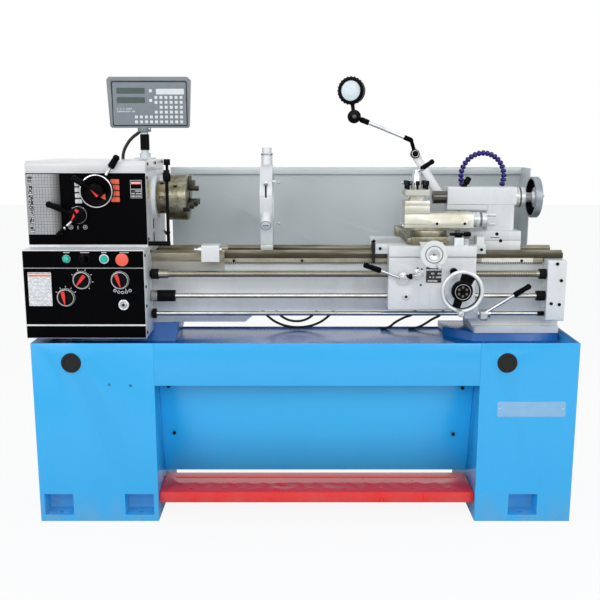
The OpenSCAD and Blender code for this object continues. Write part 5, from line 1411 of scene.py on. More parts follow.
@dataclass
class Levers:
    """The gear levers, the dials, the switch and the two buttons."""

    dial_turns: Point = (38.0, -8.0, -17.0)

    def build(self) -> None:
        """Dress each lever and add its pointer."""
        levers = (
            ("speed_lever", HEAD_HUB, 0.0, 0.0515, 0.093),
            ("range_lever", HEAD_HUB, 0.0, 0.0, 0.0),
            ("reverse_lever", LOW_HUB, 0.0, 0.0285, 0.068),
            ("thread_lever", LOW_HUB, 0.0, 0.0, 0.0),
        )
        for node, (x, z), low, high, grip in levers:
            centre = (x, 0.0, z)
            zones = (grip_zone(((Measure.ROUND_Y, grip, 1.0),), centre),)
            for near_r, far_r in ((low - 0.001, high), (0.0545, high and 0.0625)):
                zones += (Zone(((Measure.ROUND_Y, near_r, far_r),), PANEL_BLACK.colour, roughness=0.3, centre=centre),)
            finish = Zoned(f"{node}_finish", SHEEN.colour, 0.2, 1.0, stain=0.1, grain=Axis.Y, zones=zones)
            skin(node, FINE_EDGE, finish)
        self.pointer("range_pointer", (HEAD_HUB[0] - 0.006, HEAD_HUB[1]), 45.0, -0.1006, 0.042, "range_lever")
        self.pointer("thread_pointer", (LOW_HUB[0] - 0.008, LOW_HUB[1]), -60.0, -0.1046, 0.044, "thread_lever")
        triangle = Piece.turned("speed_triangle", Axis.Y, ORIGIN, [(-0.0012, 0.0128), (0.0004, 0.0128)], 3)
        triangle.bevel(0.0004, 1).paint(ORANGE).move(at(-0.6215, -0.0806, 1.0935) @ Matrix.Rotation(0.5, 4, "Y"))
        triangle.ride("speed_lever")
        for index, ((x, z), turn) in enumerate(zip(DIALS, self.dial_turns)):
            self.dial(f"dial_{index + 1}", x, z, turn)
        skin("mode_switch", FINE_EDGE, BLACK_PLASTIC)
        # The start button's cap and body take the glowing green: painted light, as the button is no lamp.
        profile = [(0.0, 0.0118), (0.0022, 0.0118), (0.0034, 0.0105), (0.0034, 0.0015)]
        cap = Piece.turned("start_cap", Axis.Z, ORIGIN, profile, 32).smooth(30).paint(GREEN)
        cap.move(facing(START_X, -0.1588, BUTTON_Z)).ride("start_button")
        dress("start_button", GREEN)
        skin("stop_button", 0.0016, CORAL)

    def pointer(self, name: str, hub: Spot, turn: float, face: float, reach: float, body: str) -> None:
        """Lay a long red wedge on a hub.

        Args:
            name: The piece's name.
            hub: X and Z of the wedge's middle.
            turn: Degrees that its broad end is turned by, from +X downwards.
            face: Y of the face that it lies on.
            reach: Its length.
            body: The body that it rides.
        """
        wedge = Piece.block(name, (-reach / 2, -0.0016, -0.0078), (reach / 2, 0.001, 0.0078))
        lean = 0.0062 / reach
        for side in (1.0, -1.0):
            wedge.cut((reach / 2, 0.0, side * 0.0072), (-lean, 0.0, side))
        wedge.bevel(0.0004, 1).smooth().paint(POINTER_RED)
        wedge.move(at(hub[0], face, hub[1]) @ spun(turn)).ride(body)

    def dial(self, node: str, x: float, z: float, turn: float) -> None:
        """Dress a pointer knob: silver skirt, black body, red pointer.

        Args:
            node: The dial's node and body.
            x: Its middle.
            z: Its middle.
            turn: Degrees that its pointer is turned by from upright.
        """
        skirt = Zone(((Measure.ROUND_Y, 0.0256, 0.0276),), (0.62, 0.63, 0.64), 0.6, 0.28, (x, 0.0, z))
        knob = Zoned(f"{node}_finish", (0.008, 0.008, 0.009), 0.26, 0.0, stain=0.0, grain=Axis.Y, zones=(skirt,))
        skin(node, FINE_EDGE, knob)
        wedge = Piece.block(f"{node}_pointer", (-0.0058, -0.0016, -0.02), (0.0058, 0.001, 0.024))
        wedge.cut((0.0045, 0.0, 0.0), (1.0, 0.0, -0.15)).cut((-0.0045, 0.0, 0.0), (-1.0, 0.0, -0.15))
        wedge.bevel(0.0005, 1).smooth().paint(POINTER_RED)
        wedge.move(at(x, -0.1783, z) @ spun(turn)).ride(node)


def near(point: Vector, x: float, z: float, reach: float) -> bool:
    """Tell whether a point lies near a line along Y."""
    return math.hypot(point.x - x, point.z - z) < reach


def boss(front: float, x: float, z: float, reach: float) -> Chooser:
    """Tell a boss by its faces in front of a plane, within reach of a line along Y."""
    return lambda middle, normal: middle.y < front and near(middle, x, z, reach)


@dataclass
class Conduits:
    """The conduits that hang behind the bed, two of which drop to the tray, and the readout's cable."""

    y: float = 0.1846
    radius: float = 0.0045
    loops: tuple[Box, ...] = ((-0.144, 0.192, 0.714, 0.59), (-0.086, 0.122, 0.712, 0.613))
    drops: tuple[tuple[Spot, ...], ...] = (
        ((0.478, 0.712), (0.454, 0.642), (0.419, 0.626), (0.387, 0.608), (0.367, 0.592), (0.351, 0.5868),
         (0.333, 0.5866)),
        ((0.575, 0.71), (0.56, 0.642), (0.525, 0.62), (0.491, 0.598), (0.473, 0.59), (0.455, 0.5868), (0.437, 0.5866)),
    )
    lid_cable: tuple[Spot, ...] = (
        (-0.622, 1.2112), (-0.6185, 1.234), (-0.606, 1.261), (-0.586, 1.286), (-0.564, 1.303), (-0.552, 1.3125))

    def build(self) -> None:
        """Lay every conduit."""
        for index, (x0, x1, top, low) in enumerate(self.loops):
            route = []
            for step in range(11):
                square = (step / 5 - 1) ** 2
                route.append((x0 + step * (x1 - x0) / 10, low + (top - low) * (0.55 * square + 0.45 * square * square)))
            points = [(x, self.y, z) for x, z in route]
            self.lay(f"hanging_conduit_{index}", points, "object", "hanging", self.radius, "cables")
        for index, route in enumerate(self.drops):
            self.lay(f"tray_conduit_{index}", [(x, self.y, z) for x, z in route], "bare", "loose",
                     self.radius, "cables")
        self.lay("readout_cable", [(x, 0.25, z) for x, z in self.lid_cable], "object", "loose", 0.006)

    def lay(self, name: str, points: Sequence[Point], far_end: str, lay: str, radius: float, node: str = "") -> None:
        """Lay one conduit along its route.

        Args:
            name: The piece's name.
            points: The points that it passes.
            far_end: What it ends in; not used.
            lay: How it lies; not used.
            radius: Its radius.
            node: The node whose solids it replaces, if any.
        """
        curve = bpy.data.curves.new(name, "CURVE")
        curve.dimensions = "3D"
        curve.bevel_depth = radius
        curve.bevel_resolution = 3
        curve.resolution_u = 5
        curve.use_fill_caps = True
        spline = curve.splines.new("BEZIER")
        spline.bezier_points.add(len(points) - 1)
        for knot, point in zip(spline.bezier_points, points):
            knot.co = point
            knot.handle_left_type = knot.handle_right_type = "AUTO"
        cord = bpy.data.objects.new(name, curve)
        bpy.context.scene.collection.objects.link(cord)
        curve.materials.append(CONDUIT.material())
        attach(cord, "machine")
        if node:
            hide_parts(node)
        length = sum(math.dist(one, two) for one, two in zip(points, points[1:]))
        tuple(points[0])


@dataclass
class Bed:
    """The bed with its ways, the rack, the three rods and their bracket."""

    rod_y: float = -0.045
    screw_z: float = 0.829
    rack_x: Spot = (-0.23, 0.869)
    tooth: float = 0.00628
    rack_screws: tuple[float, ...] = (-0.197, 0.038, 0.795)
    bracket_screws: tuple[Spot, ...] = ((0.919, 0.81), (0.889, 0.73), (0.903, 0.867), (0.917, 0.727))

    def build(self) -> None:
        """Build and dress the bed."""
        skin("bed", CAST_EDGE, BED_WHITE, "machine")
        skin("gap_piece", FINE_EDGE, GAP_IRON, "machine")
        skin("rod_bracket", CAST_EDGE, WHITE, "machine")
        wiped = Zone(((Measure.X, 0.657, 0.834),), (0.76, 0.75, 0.7), 0.3, 0.45)
        rack = Zoned("rack_finish", (0.4, 0.37, 0.3), 0.36, 0.8, oil=(0.12, 0.1, 0.045), stain=0.7, zones=(wiped,))
        dress("rack", rack)
        self.teeth()
        self.rods()
        screw = Hardware().cap_screw("bracket_screws", 0.0055, 0.004)
        screw.stamp([facing(x, -0.0702, z) for x, z in self.bracket_screws]).ride("machine")

    def teeth(self) -> None:
        """Mark the rack's teeth with black blocks of painted shade for the gaps along its lower edge, and add its
        screws.
        """
        x0, x1 = self.rack_x
        # Each black block is painted shade in a gap between two teeth.
        gap = Piece.block("rack_gaps", (-0.0013, -0.0184, 0.8606), (0.0013, -0.0164, 0.8656)).paint(BLACK_OXIDE)
        count = int((x1 - x0) / self.tooth) - 1
        gap.stamp([at(x0 + self.tooth * (index + 1), 0.0, 0.0) for index in range(count)]).ride("machine")
        screw = Hardware().cap_screw("rack_screws", 0.0048, 0.002)
        screw.stamp([facing(x, -0.018, 0.8705) for x in self.rack_screws]).ride("machine")

    def rods(self) -> None:
        """Dress the leadscrew, the feed rod and the control rod."""
        black = BLACK_OXIDE.colour
        stubs = (x_band(0.8485, 0.873, black), x_band(-0.48, -0.463, black))
        screw = ScrewThread("leadscrew_finish", (0.27, 0.26, 0.2), 0.22, 0.92, stain=0.5,
                            centre=(0.0, self.rod_y, self.screw_z), start=-0.415, end=0.84)
        lead = skin("leadscrew", FINE_EDGE, screw)
        lead.paint_faces(BLACK_OXIDE, lambda middle, normal: 0.8485 < middle.x < 0.873 or middle.x < -0.4395)
        sleeves = (x_band(-0.458, -0.397, (0.006, 0.006, 0.007)), x_band(0.8425, 0.873, black))
        for node, width, zones in (("feed_rod", FINE_EDGE, sleeves), ("control_rod", 0.0006, stubs)):
            skin(node, width, Zoned(f"{node}_finish", (0.48, 0.48, 0.45), 0.18, 0.92, stain=0.35, zones=zones))


@dataclass
class Spindle:
    """The spindle nose, the chuck with its jaws, and the guard's hinge post."""

    centre: Point = SPINDLE_LINE
    post: Spot = (-0.414, -0.056)

    def build(self) -> None:
        """Build and dress the spindle."""
        nose = TurnedSteel("spindle_finish", (0.2, 0.175, 0.13), 0.2, 0.9, axis=Axis.X, centre=self.centre, stain=0.6)
        skin("spindle", FINE_EDGE, nose)
        skin("chuck_body", 0.001, CHUCK_STEEL, "spindle")
        for index in (1, 2, 3):
            skin(f"jaw_{index}", 0.0006, JAW_STEEL)
        skin("guard_post", 0.001, BLACK_PLASTIC)
        x, y = self.post
        profile = [(1.142, 0.0085), (1.146, 0.0125), (1.158, 0.0135), (1.17, 0.0125), (1.174, 0.0085)]
        knob = Piece.turned("guard_knob", Axis.Z, (x, y, 0.0), profile, 24).smooth(40).paint(BLACK_PLASTIC)
        screw = Hardware().cap_screw("guard_screws", 0.0045, 0.004)
        screw.stamp([facing(x, y - 0.009, z) for z in (1.156, 0.972)] + [facing(x, y - 0.005, z) for z in (1.1, 1.13)])
        knob.join([screw]).ride("guard_post")


@dataclass
class Carriage:
    """The saddle, the apron and the controls on them."""

    face: float = -0.09
    wheel: Spot = (0.566, 0.789)
    small: Spot = (0.465, 0.915)
    plate: Box = (0.456, 0.508, 0.806, 0.862)
    screws: tuple[Spot, ...] = ((0.427, 0.855), (0.441, 0.852), (0.439, 0.825), (0.439, 0.798))

    def build(self) -> None:
        """Build and dress the carriage."""
        skin("saddle", CAST_EDGE, WHITE, "carriage")
        self.apron()
        self.details()
        self.large_wheel()
        self.small_wheel()
        self.levers()
        Slides().build()

    def apron(self) -> None:
        """Dress the apron with the knobs, the link and the oil sight that belong to its casting."""
        apron = skin("apron", EDGE, WHITE, "carriage")
        apron.paint_faces(BLACK_PLASTIC, boss(-0.0985, 0.546, 0.846, 0.0145))
        apron.paint_faces(BLACK_PLASTIC, boss(-0.107, 0.4015, 0.832, 0.0108))
        apron.paint_faces(DULL_CHROME, lambda middle, normal: middle.y < -0.0925 and 0.405 < middle.x < 0.4495
                          and 0.815 < middle.z < 0.856)
        apron.paint_faces(DULL_CHROME, boss(-0.0885, 0.39, 0.758, 0.0145))

    def details(self) -> None:
        """Add the plate, the wipers, the seam and the screws."""
        x0, x1, z0, z1 = self.plate
        marks = Printed("symbol_marks", PRINT_BLACK, 0.4, centre=(x0, 0.0, z0), ink=(0.8, 0.8, 0.8), row=0.0125,
                        word=0.0055, fill=0.42, cover=0.6)
        plate = Piece.block("symbol_plate", (x0, self.face - 0.0012, z0),
                            (x1, self.face + 0.0005, z1)).corners(Axis.Y, 0.003)
        plate.bevel(0.0003, 1).paint(marks).ride("carriage")
        seam = Piece.block("apron_seam", (0.3302, self.face - 0.0003, 0.8922), (0.6238, self.face + 0.001, 0.8934))
        seam.paint(BLACK_OXIDE).ride("carriage")
        wiper = Piece.block("way_wiper", (0.2795, -0.041, 0.866), (0.2878, -0.0162, 0.934)).bevel(0.0012)
        upper = Piece.block("way_wiper_top", (0.2795, -0.017, 0.9068), (0.2878, 0.03, 0.934)).bevel(0.0012)
        wiper.paint(RUBBER).join([upper.paint(RUBBER)]).ride("carriage")
        knob = Hardware().ball("wiper_knob", 0.0055, BLACK_PLASTIC)
        knob.move(facing(0.2836, -0.03, 0.9395, (0.0, 0.0, 1.0))).ride("carriage")
        screw = Hardware().cap_screw("apron_screws", 0.0034, 0.0015)
        screw.stamp([facing(x, self.face, z) for x, z in self.screws]).ride("carriage")
        side = Hardware().cap_screw("saddle_screws", 0.005, 0.004)
        side.stamp([facing(x, -0.0412, z) for x, z in ((0.304, 0.916), (0.65, 0.912))]).ride("carriage")
        nut = Piece.turned("apron_nut", Axis.Y, (0.42, 0.0, 0.841),
                           [(-0.0898, 0.006), (-0.094, 0.006), (-0.0945, 0.005)], 6)
        nut.paint(DULL_CHROME).ride("carriage")
        stub = Piece.turned("lock_stub", Axis.Z, (0.5945, -0.052, 0.0),
                            [(0.9285, 0.0118), (0.949, 0.0118), (0.951, 0.0095)], 28)
        stub.smooth().paint(DULL_CHROME).ride("carriage")
        sight = Piece.turned("oil_sight", Axis.Y, (0.39, 0.0, 0.758),
                             [(-0.0905, 0.0112), (-0.0935, 0.0112), (-0.0945, 0.01)], 6)
        pupil = Piece.turned("oil_sight_glass", Axis.Y, (0.39, 0.0, 0.758), [(-0.094, 0.0052), (-0.0953, 0.0048)], 24)
        sight.paint(RIM_CHROME).join([pupil.paint(BLACK_OXIDE)]).ride("carriage")

    def large_wheel(self) -> None:
        """Build the carriage's handwheel: a bright rim with a black ring of painted shade inside it, two black spokes
        and a faced hub.
        """
        x, z = self.wheel
        foot = (x, 0.0, z)
        rim = Piece.ring("carriage_wheel_skin", Axis.Y, (x, -0.1635, z), 0.0652, 0.0068, 72).paint(RIM_CHROME)
        # A black ring just inside the rim is painted shade on the rim's inner edge.
        rim_shade = Piece.ring("wheel_liner", Axis.Y, (x, -0.1545, z), 0.0605, 0.0038, 64).paint(BLACK_PLASTIC)
        profile = [(-0.0985, 0.034), (-0.1, 0.036), (-0.148, 0.036), (-0.15, 0.034)]
        drum = Piece.turned("wheel_drum", Axis.Y, foot, profile, 48).smooth().paint(PALE_STEEL)
        profile = [(-0.149, 0.033), (-0.152, 0.0355), (-0.16, 0.0355), (-0.1625, 0.03), (-0.1725, 0.0285),
                   (-0.1735, 0.0272)]
        hub = Piece.turned("wheel_hub", Axis.Y, foot, profile + [(-0.1735, 0.0262)], 48).smooth(30).paint(BLACK_PLASTIC)
        profile = [(-0.173, 0.0262), (-0.1742, 0.0258), (-0.1742, 0.0243), (-0.1728, 0.0238)]
        band = Piece.turned("wheel_band", Axis.Y, foot, profile, 48).smooth(30).paint(DULL_CHROME)
        band.paint_faces(BLACK_PLASTIC, lambda middle, normal: near(middle, x, z, 0.0235))
        petal = Piece.turned("wheel_petals", Axis.Y, ORIGIN,
                             [(-0.172, 0.0048), (-0.1738, 0.0042), (-0.1742, 0.003)], 12)
        petal.smooth().paint(DARK_STEEL)
        turns = [spun(60 * index) for index in range(6)]
        petal.stamp([at(x, 0.0, z) @ turn @ at(0.0, 0.0, 0.0145) for turn in turns])
        parts = [rim_shade, drum, hub, band, petal]
        for index, (angle, foot_wide, rim_wide) in enumerate(((22.0, 0.0195, 0.0245), (198.0, 0.0145, 0.013))):
            spoke = Piece.block(f"wheel_spoke_{index}", (-0.03, -0.159, 0.02), (0.03, -0.151, 0.0605))
            lean = (rim_wide - foot_wide) / 0.0405
            for side in (1.0, -1.0):
                spoke.cut((side * foot_wide, 0.0, 0.02), (side, 0.0, -lean))
            spoke.bevel(0.0015).smooth().paint(BLACK_PLASTIC)
            parts.append(spoke.move(at(x, 0.0, z) @ spun(angle)))
        profile = [(-0.166, 0.0045), (-0.176, 0.0045), (-0.178, 0.0085), (-0.184, 0.0095), (-0.222, 0.011),
                   (-0.232, 0.0098)]
        grip_at = (x - 0.0139, 0.0, z - 0.0625)
        grip = Piece.turned("wheel_handle", Axis.Y, grip_at, profile + [(-0.236, 0.006)], 24).smooth(40)
        parts.append(grip.paint(RIM_CHROME))
        # A black block on the handle's end is painted shade in its slot.
        slot = Piece.block("handle_slot", (-0.0052, -0.2363, -0.0009), (0.0052, -0.2345, 0.0009)).paint(BLACK_OXIDE)
        parts.append(slot.move(at(*grip_at) @ spun(-50)))
        rim.join(parts).ride("carriage_wheel")
        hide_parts("carriage_wheel")

    def small_wheel(self) -> None:
        """Build the cross slide's handwheel: a white face with its groove in painted shade, a bright hub and two
        collars.
        """
        x, z = self.small
        foot = (x, 0.0, z)
        profile = [(-0.1802, 0.028), (-0.181, 0.043), (-0.183, 0.045), (-0.1895, 0.045), (-0.192, 0.0425),
                   (-0.192, 0.0295)]
        profile += [(-0.1895, 0.0282), (-0.1895, 0.0268), (-0.1912, 0.0258), (-0.1912, 0.0185)]
        disc = Piece.turned("cross_wheel_skin", Axis.Y, foot, profile, 64).smooth(30).paint(LID_WHITE)
        profile = [(-0.19, 0.0182), (-0.1932, 0.0182), (-0.194, 0.0172), (-0.1925, 0.0085), (-0.1912, 0.0045)]
        hub = Piece.turned("cross_hub", Axis.Y, foot, profile, 48).smooth(30).paint(DULL_CHROME)
        hub.paint_faces(BLACK_OXIDE, lambda middle, normal: near(middle, x, z, 0.006))
        profile = [(-0.1103, 0.029), (-0.112, 0.031), (-0.1285, 0.031), (-0.1295, 0.027), (-0.163, 0.027),
                   (-0.1645, 0.0255)]
        # The groove's faces in the white face are painted grey: painted shade in the groove.
        disc.paint_faces(SHADOW_GREY, lambda middle, normal: middle.y < -0.188 and near(middle, x, z, 0.0293)
                         and not near(middle, x, z, 0.0258))
        drum = Piece.turned("cross_collars", Axis.Y, foot, profile + [(-0.1645, 0.0125), (-0.182, 0.0125)],
                            48).smooth(30)
        low, high = (-0.0003, -0.1285, 0.0309), (0.0003, -0.1215, 0.0312)
        ticks = Hardware().tick_ring("cross_ticks", low, high, Axis.Y, foot, 48)
        profile = [(-0.19, 0.004), (-0.197, 0.004), (-0.199, 0.0065), (-0.205, 0.0075), (-0.234, 0.008),
                   (-0.242, 0.005)]
        grip = Piece.turned("cross_handle", Axis.Y, (x + 0.012, 0.0, z - 0.033), profile,
                            24).smooth(40).paint(RIM_CHROME)
        disc.join([hub, drum.paint(DULL_CHROME), ticks, grip]).ride("cross_wheel")
        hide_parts("cross_wheel")

    def levers(self) -> None:
        """Dress the apron lever, the control lever and the saddle's lock."""
        levers = (("apron_lever", (0.377, 0.0, 0.822), 0.0795), ("control_lever", (0.6573, 0.0, 0.699), 0.1175))
        for node, root, reach in levers:
            grip = grip_zone(((Measure.ROUND_Y, reach, 1.0),), root)
            lever = Zoned(f"{node}_finish", DULL_CHROME.colour, 0.24, 1.0, stain=0.1, grain=Axis.Y, zones=(grip,))
            skin(node, FINE_EDGE, lever)
        skin("saddle_lock", FINE_EDGE, BLACK_PLASTIC)


@dataclass
class Slides:
    """The cross slide, the compound slide and the tool post."""

    screw: Point = (0.0, 0.003, 1.0105)
    post_top: float = 1.1145

    def build(self) -> None:
        """Build and dress the slides."""
        skin("cross_slide", FINE_EDGE, OLIVE_STEEL)
        skin("swivel_base", FINE_EDGE, OLIVE_STEEL)
        skin("top_slide", 0.001, POST_STEEL)
        post = skin("tool_post", FINE_EDGE, POST_STEEL)
        post.paint_faces(BLACK_OXIDE, lambda middle, normal: middle.z > self.post_top + 0.0003)
        grip = grip_zone(((Measure.Z, 1.1815, 1.3), (Measure.X, 0.4385, 0.6)))
        handle = Zoned("post_handle_finish", DULL_CHROME.colour, 0.2, 1.0, stain=0.1, grain=Axis.Z, zones=(grip,))
        skin("post_handle", FINE_EDGE, handle)
        ring = Zone(((Measure.X, 0.6463, 0.6545),), (0.2, 0.21, 0.22), 0.6, 0.35)
        wheel = Zoned("top_wheel_finish", (0.68, 0.7, 0.71), 0.38, 0.6, stain=0.15, zones=(ring,))
        skin("top_wheel", FINE_EDGE, wheel)
        low, high = (0.6305, -0.0003, 0.0259), (0.6365, 0.0003, 0.0262)
        Hardware().tick_ring("top_ticks", low, high, Axis.X, self.screw, 40).ride("top_wheel")
        side = Hardware().cap_screw("slide_screws", 0.0046, 0.0022)
        side.stamp([facing(place, -0.0422, 1.0005) for place in (0.4955, 0.5895)]).ride("top_slide")
        line = Piece.block("slide_gib", (0.3865, -0.0423, 0.9985), (0.4595, -0.0415, 0.9992)).paint(BLACK_OXIDE)
        line.ride("top_slide")


@dataclass
class Tailstock:
    """The tailstock with its quill, handwheel and lock."""

    front: float = 0.026
    screws: tuple[Spot, ...] = ((0.716, 0.958), (0.73, 0.9345))
    centre: Point = SPINDLE_LINE

    def build(self) -> None:
        """Build and dress the tailstock."""
        skin("tailstock", 0.0022, WHITE)
        split = Piece.block("base_split", (0.6225, self.front - 0.0003, 0.9352), (0.7998, self.front + 0.001, 0.9372))
        scale = Piece.block("base_scale", (0.694, self.front - 0.0008, 0.9445), (0.726, self.front + 0.0006, 0.9465))
        split.paint(SHADOW_GREY).join([scale.paint(BLACK_OXIDE)]).ride("tailstock")
        screw = Hardware().cap_screw("base_screws", 0.0058, 0.002)
        screw.stamp([facing(x, self.front, z) for x, z in self.screws]).ride("tailstock")
        quill = TurnedSteel("quill_finish", (0.09, 0.085, 0.08), 0.16, 0.95, axis=Axis.X, centre=self.centre, stain=0.1)
        skin("quill", FINE_EDGE, quill)
        skin("quill_lock", 0.001, BLACK_PLASTIC)
        dish = Zone(((Measure.ROUND_X, 0.0352, 0.064), (Measure.X, 0.82, 0.9)), (0.008, 0.009, 0.011), 0.0, 0.25,
                    self.centre)
        rim = Zone(((Measure.ROUND_X, 0.064, 0.08), (Measure.X, 0.83, 0.9)), (0.3, 0.33, 0.36), 0.7, 0.34, self.centre)
        wheel = Zoned("tail_wheel_finish", (0.66, 0.68, 0.7), 0.36, 0.6, stain=0.1, zones=(dish, rim))
        skin("tail_wheel", FINE_EDGE, wheel)
        ring = Piece.turned("dial_ring", Axis.X, self.centre, [(0.8005, 0.0353), (0.802, 0.0356), (0.8065, 0.0356)], 48)
        ring.smooth(30).paint(DARK_STEEL)
        low, high = (0.7905, -0.0004, 0.0349), (0.7975, 0.0004, 0.0353)
        ring.join([Hardware().tick_ring("dial_ticks", low, high, Axis.X, self.centre, 40)]).ride("tail_wheel")


@dataclass
class SteadyRest:
    """The steady rest with its fingers, and the stop block on the front way."""

    axis: Spot = (-0.085, 0.095)

    def build(self) -> None:
        """Build and dress the steady rest."""
        frame_skin = skin("steady_frame", CAST_EDGE, PALE_STEEL, "steady")
        frame_skin.paint_faces(RIM_CHROME, lambda middle, normal: abs(middle.y - 0.095) > 0.101 and middle.z < 1.046)
        skin("steady_top", CAST_EDGE, PALE_STEEL)
        x, y = self.axis
        profile = [(1.2275, 0.0205), (1.229, 0.0212), (1.2335, 0.0212), (1.235, 0.02)]
        collar = Piece.turned("steady_collar", Axis.Z, (x, y, 0.0), profile, 36)
        wing = Piece.block("steady_wing", (x - 0.013, y - 0.0045, 1.2425),
                           (x + 0.013, y + 0.0045, 1.2528)).bevel(0.0025)
        collar.smooth(30).paint(DULL_CHROME).join([wing.smooth().paint(DULL_CHROME)]).ride("steady_top")
        # A black block under the screw is painted shade in the slot of the steady's top.
        slot = Piece.block("steady_slot", (x - 0.0028, -0.0215, 1.086), (x + 0.0028, -0.0185, 1.128)).bevel(0.001, 1)
        # A grey ring round the knob's end face is painted shade on its edge, and the black block is painted shade in
        # its slot.
        rim = Piece.ring("steady_knob_ring", Axis.Z, (0.0, 0.0, 0.0004), 0.0175, 0.0013, 32).paint(SHADOW_GREY)
        notch = Piece.block("steady_knob_notch", (-0.01, -0.0012, -0.001), (0.01, 0.0012, 0.0008)).paint(BLACK_OXIDE)
        rim.join([notch]).move(facing(x, -0.054, 0.995, (0.0, -0.866, -0.5))).ride("steady")
        fork = Piece.block("steady_fork", (x - 0.008, -0.0215, 1.128), (x + 0.008, -0.0185, 1.1315)).bevel(0.0008, 1)
        fork.paint(DARK_STEEL).ride("steady")
        screw = Hardware().dome_screw("steady_slot_screw", 0.0055)
        screw.move(facing(x, -0.0165, 1.137)).join([slot.paint(BLACK_OXIDE)]).ride("steady")
        block = skin("carriage_stop", EDGE, LID_WHITE)
        block.paint_faces(DULL_CHROME, lambda middle, normal: not -0.3052 < middle.x < -0.2438)


@dataclass
class SplashGuard:
    """The sheet guard behind the bed."""

    def build(self) -> None:
        """Dress the guard and add its screws."""
        skin("splash_guard", 0.0006, GUARD_GREY, "machine")
        screw = Hardware().dome_screw("guard_rivets", 0.0045)
        screw.stamp([facing(x, 0.3302, z) for x in (-0.05, 0.42) for z in (0.965, 1.12)]).ride("machine")


@dataclass
class WorkLamp:
    """The jointed lamp on the carriage."""

    elbow: Point = (0.451, 0.0, 1.23)
    bend: Point = (0.435, 0.0, 1.279)
    knuckle: Point = (0.226, 0.0, 1.362)
    head: Point = (0.218, 0.2064, 1.452)
    way: Point = (-0.342, -0.94, 0.0)
    radius: float = 0.048

    def build(self) -> None:
        """Build and dress the lamp."""
        skin("lamp_lower_arm", EDGE, LAMP_WHITE)
        black = BLACK_PLASTIC.colour
        zones = tuple(
            Zone(((Measure.ROUND_Y, -1.0, reach),), black, 0.0, 0.35, centre)
            for centre, reach in ((self.knuckle, 0.0585), (self.bend, 0.0285), (self.elbow, 0.045))
        )
        tube = Zoned("lamp_tube", (0.7, 0.71, 0.72), 0.16, 1.0, stain=0.0, zones=zones)
        skin("lamp_upper_arm", 0.0006, tube)
        x, _, z = self.elbow
        ring = Piece.ring("elbow_ring", Axis.Y, (x, 0.2134, z), 0.0118, 0.0014, 32).paint(DULL_CHROME)
        cap = Hardware().cap_screw("elbow_screw", 0.006, 0.003)
        ring.join([cap.move(facing(x, 0.2137, z))]).ride("lamp_upper_arm")
        skin("lamp_head", FINE_EDGE, BLACK_PLASTIC)
        self.front()

    def front(self) -> None:
        """Add the head's fins, its bezel, its lens and the knuckle's screw."""
        r = self.radius
        profile = [(-0.001, 0.0355), (0.001, 0.0352), (0.0022, 0.028), (0.0028, 0.012), (0.0029, 0.002)]
        lens = Piece.turned("lamp_lens", Axis.Z, (0.0, 0.0, 0.0177), profile, 48).smooth(60).paint(LENS)
        bezel = Piece.ring("lamp_bezel", Axis.Z, (0.0, 0.0, 0.0225), r - 0.0085, 0.0022, 48).paint(BLACK_PLASTIC)
        fin = Piece.block("lamp_fins", (-0.0016, r - 0.003, 0.007), (0.0016, r + 0.0022, 0.0215)).bevel(0.0006, 1)
        turns = [spun(15 * index, Axis.Z) for index in range(24)]
        fin.paint(BLACK_PLASTIC).stamp(turns)
        rib = Piece.ring("lamp_ribs", Axis.Z, ORIGIN, r - 0.0045, 0.0018, 48).paint(BLACK_PLASTIC)
        rib.stamp([at(0.0, 0.0, place) for place in (-0.013, -0.007, -0.001)])
        lens.join([bezel, fin, rib]).move(facing(*self.head, self.way)).ride("lamp_head")
        x, _, z = self.knuckle
        cap = Hardware().dome_screw("knuckle_screw", 0.0085)
        cap.paint(DARK_STEEL).move(facing(x, 0.1992, z)).ride("lamp_head")


@dataclass
class Hose:
    """The coolant hose of ball segments on the carriage."""

    centre: Point = (0.696, 0.205, 1.15)
    half: Spot = (0.078, 0.083)
    foot: Point = (0.614, 0.205, 0.929)

    def build(self) -> None:
        """Thread the segments along the hose's line."""
        x, y, z = self.centre
        arc = []
        for step in range(21):
            angle = math.radians(200 - 220 * step / 20)
            arc.append(Vector((x + self.half[0] * math.cos(angle), y, z + self.half[1] * math.sin(angle))))
        start = Vector(self.foot) + Vector((0.0, 0.0, 0.042))
        rise = [start.lerp(arc[0], step / 10) for step in range(10)]
        line = rise + arc
        profile = [(-0.0085, 0.0062), (-0.0062, 0.0066), (-0.0052, 0.009), (-0.002, 0.0104), (0.0015, 0.0104),
                   (0.0048, 0.009)]
        hose = Piece.turned("coolant_hose_skin", Axis.Z, ORIGIN, profile + [(0.0065, 0.0062)], 18).smooth(60)
        hose.paint(HOSE_PURPLE)
        places = []
        for index, point in enumerate(line):
            way = line[min(index + 1, len(line) - 1)] - line[max(index - 1, 0)]
            places.append(facing(*point, tuple(way)))
        hose.stamp(places)
        base = Piece.turned("hose_foot", Axis.Z, self.foot,
                            [(-0.0005, 0.012), (0.03, 0.012), (0.034, 0.009), (0.04, 0.009)], 24)
        tip = line[-1]
        profile = [(0.003, 0.005), (-0.02, 0.005), (-0.034, 0.003)]
        nozzle = Piece.turned("hose_nozzle", Axis.Z, tuple(tip), profile, 20).smooth(30)
        hose.join([base.smooth(30).paint(DULL_CHROME), nozzle.paint(BLACK_PLASTIC)]).ride("carriage")
        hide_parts("coolant_hose")


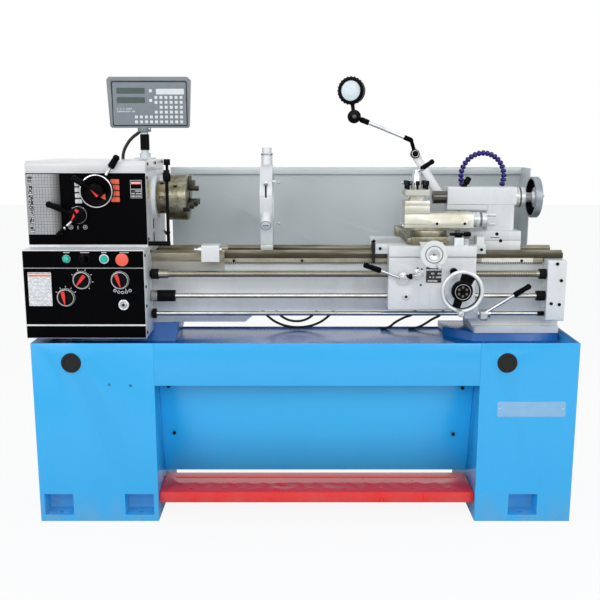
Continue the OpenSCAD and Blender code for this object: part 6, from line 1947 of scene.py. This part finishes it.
@dataclass
class Readout:
    """The position readout on its post."""

    floor_y: float = 0.228
    keys: Point = (-0.4895, 0.0, 1.43)
    pitch: Spot = (0.0182, 0.0172)

    def build(self) -> None:
        """Build and dress the readout."""
        Piece.soft("readout_case", 0.0035, angle=30.0).paint(CASE_GREY).ride("readout")
        skin("readout_post", 0.001, GUARD_GREY, "machine")
        profile = [(1.243, 0.0155), (1.245, 0.0168), (1.2985, 0.0168), (1.3, 0.0155)]
        clamp = Piece.turned("readout_clamp", Axis.Z, (-0.539, 0.25, 0.0), profile, 28).smooth(30)
        clamp.paint(BLACK_PLASTIC).ride("machine")
        self.panel()
        self.keypad()

    def slab(self, name: str, box: Box, deep: float, finish: Finish, corner: float = 0.0) -> Piece:
        """Lay a slab on the floor of the case's recess.

        Args:
            name: The piece's name.
            box: Its X and Z limits.
            deep: How far it stands out.
            finish: Its finish.
            corner: Radius of its corners.

        Returns:
            The piece.
        """
        x0, x1, z0, z1 = box
        piece = Piece.block(name, (x0, self.floor_y - deep, z0), (x1, self.floor_y + 0.0008, z1))
        if corner:
            piece.corners(Axis.Y, corner, 3)
        return piece.bevel(deep * 0.3, 1).smooth().paint(finish)

    def panel(self) -> None:
        """Lay the panel with its two displays and its pale strip."""
        panel = self.slab("readout_panel", (-0.6455, -0.3805, 1.3325, 1.4835), 0.0006, PANEL_GREY, 0.004)
        parts = [self.slab(f"display_{index}", (-0.631, -0.529, z0, z0 + 0.0205), 0.0012, SCREEN, 0.001)
                 for index, z0 in enumerate((1.4435, 1.4105))]
        parts.append(self.slab("readout_strip", (-0.4885, -0.388, 1.4405, 1.4605), 0.0012, LABEL, 0.0015))
        marks = Printed("readout_marks", PANEL_GREY.colour, 0.4, centre=(-0.632, 0.0, 1.376),
                        ink=(0.6, 0.62, 0.65), row=0.0095, word=0.0055, fill=0.55, cover=0.75)
        parts.append(self.slab("readout_print", (-0.632, -0.566, 1.377, 1.3955), 0.0009, marks))
        parts.append(self.slab("readout_edge", (-0.6485, -0.3775, 1.3295, 1.4865), 0.0003, BLACK_OXIDE, 0.005))
        panel.join(parts).ride("readout")
        screw = Hardware().dome_screw("readout_screw", 0.0036)
        screw.move(facing(-0.517, 0.2262, 1.3185)).ride("readout")

    def keypad(self) -> None:
        """Stamp the keys in their rows."""
        key = Piece.block("readout_keys", (-0.0052, self.floor_y - 0.0018, -0.0052), (0.0052, self.floor_y, 0.0052))
        key.corners(Axis.Y, 0.0014, 3).bevel(0.0004, 1).smooth().paint(LABEL)
        x, _, z = self.keys
        across, down = self.pitch
        places = [at(-0.5085, 0.0, 1.4535), at(-0.5085, 0.0, 1.4195)]
        for row in range(6):
            first = 1 if row == 2 else 0
            places += [at(x + across * column, 0.0, z - down * row) for column in range(first, 6)]
            if row > 3:
                places += [at(x + across * column, 0.0, z - down * row) for column in (-4, -3, -2, -1)]
        key.stamp(places).ride("readout")


def main() -> None:
    """Build the model."""
    logging.basicConfig(level=logging.INFO)
    Studio().build()
    Conduits().build()
    for part in (Stand(), Headstock(), Levers(), Bed(), Spindle(), Carriage(), Tailstock(), SteadyRest(), SplashGuard(),
                 WorkLamp(), Hose(), Readout()):
        part.build()


if __name__ == "__main__":
    main()
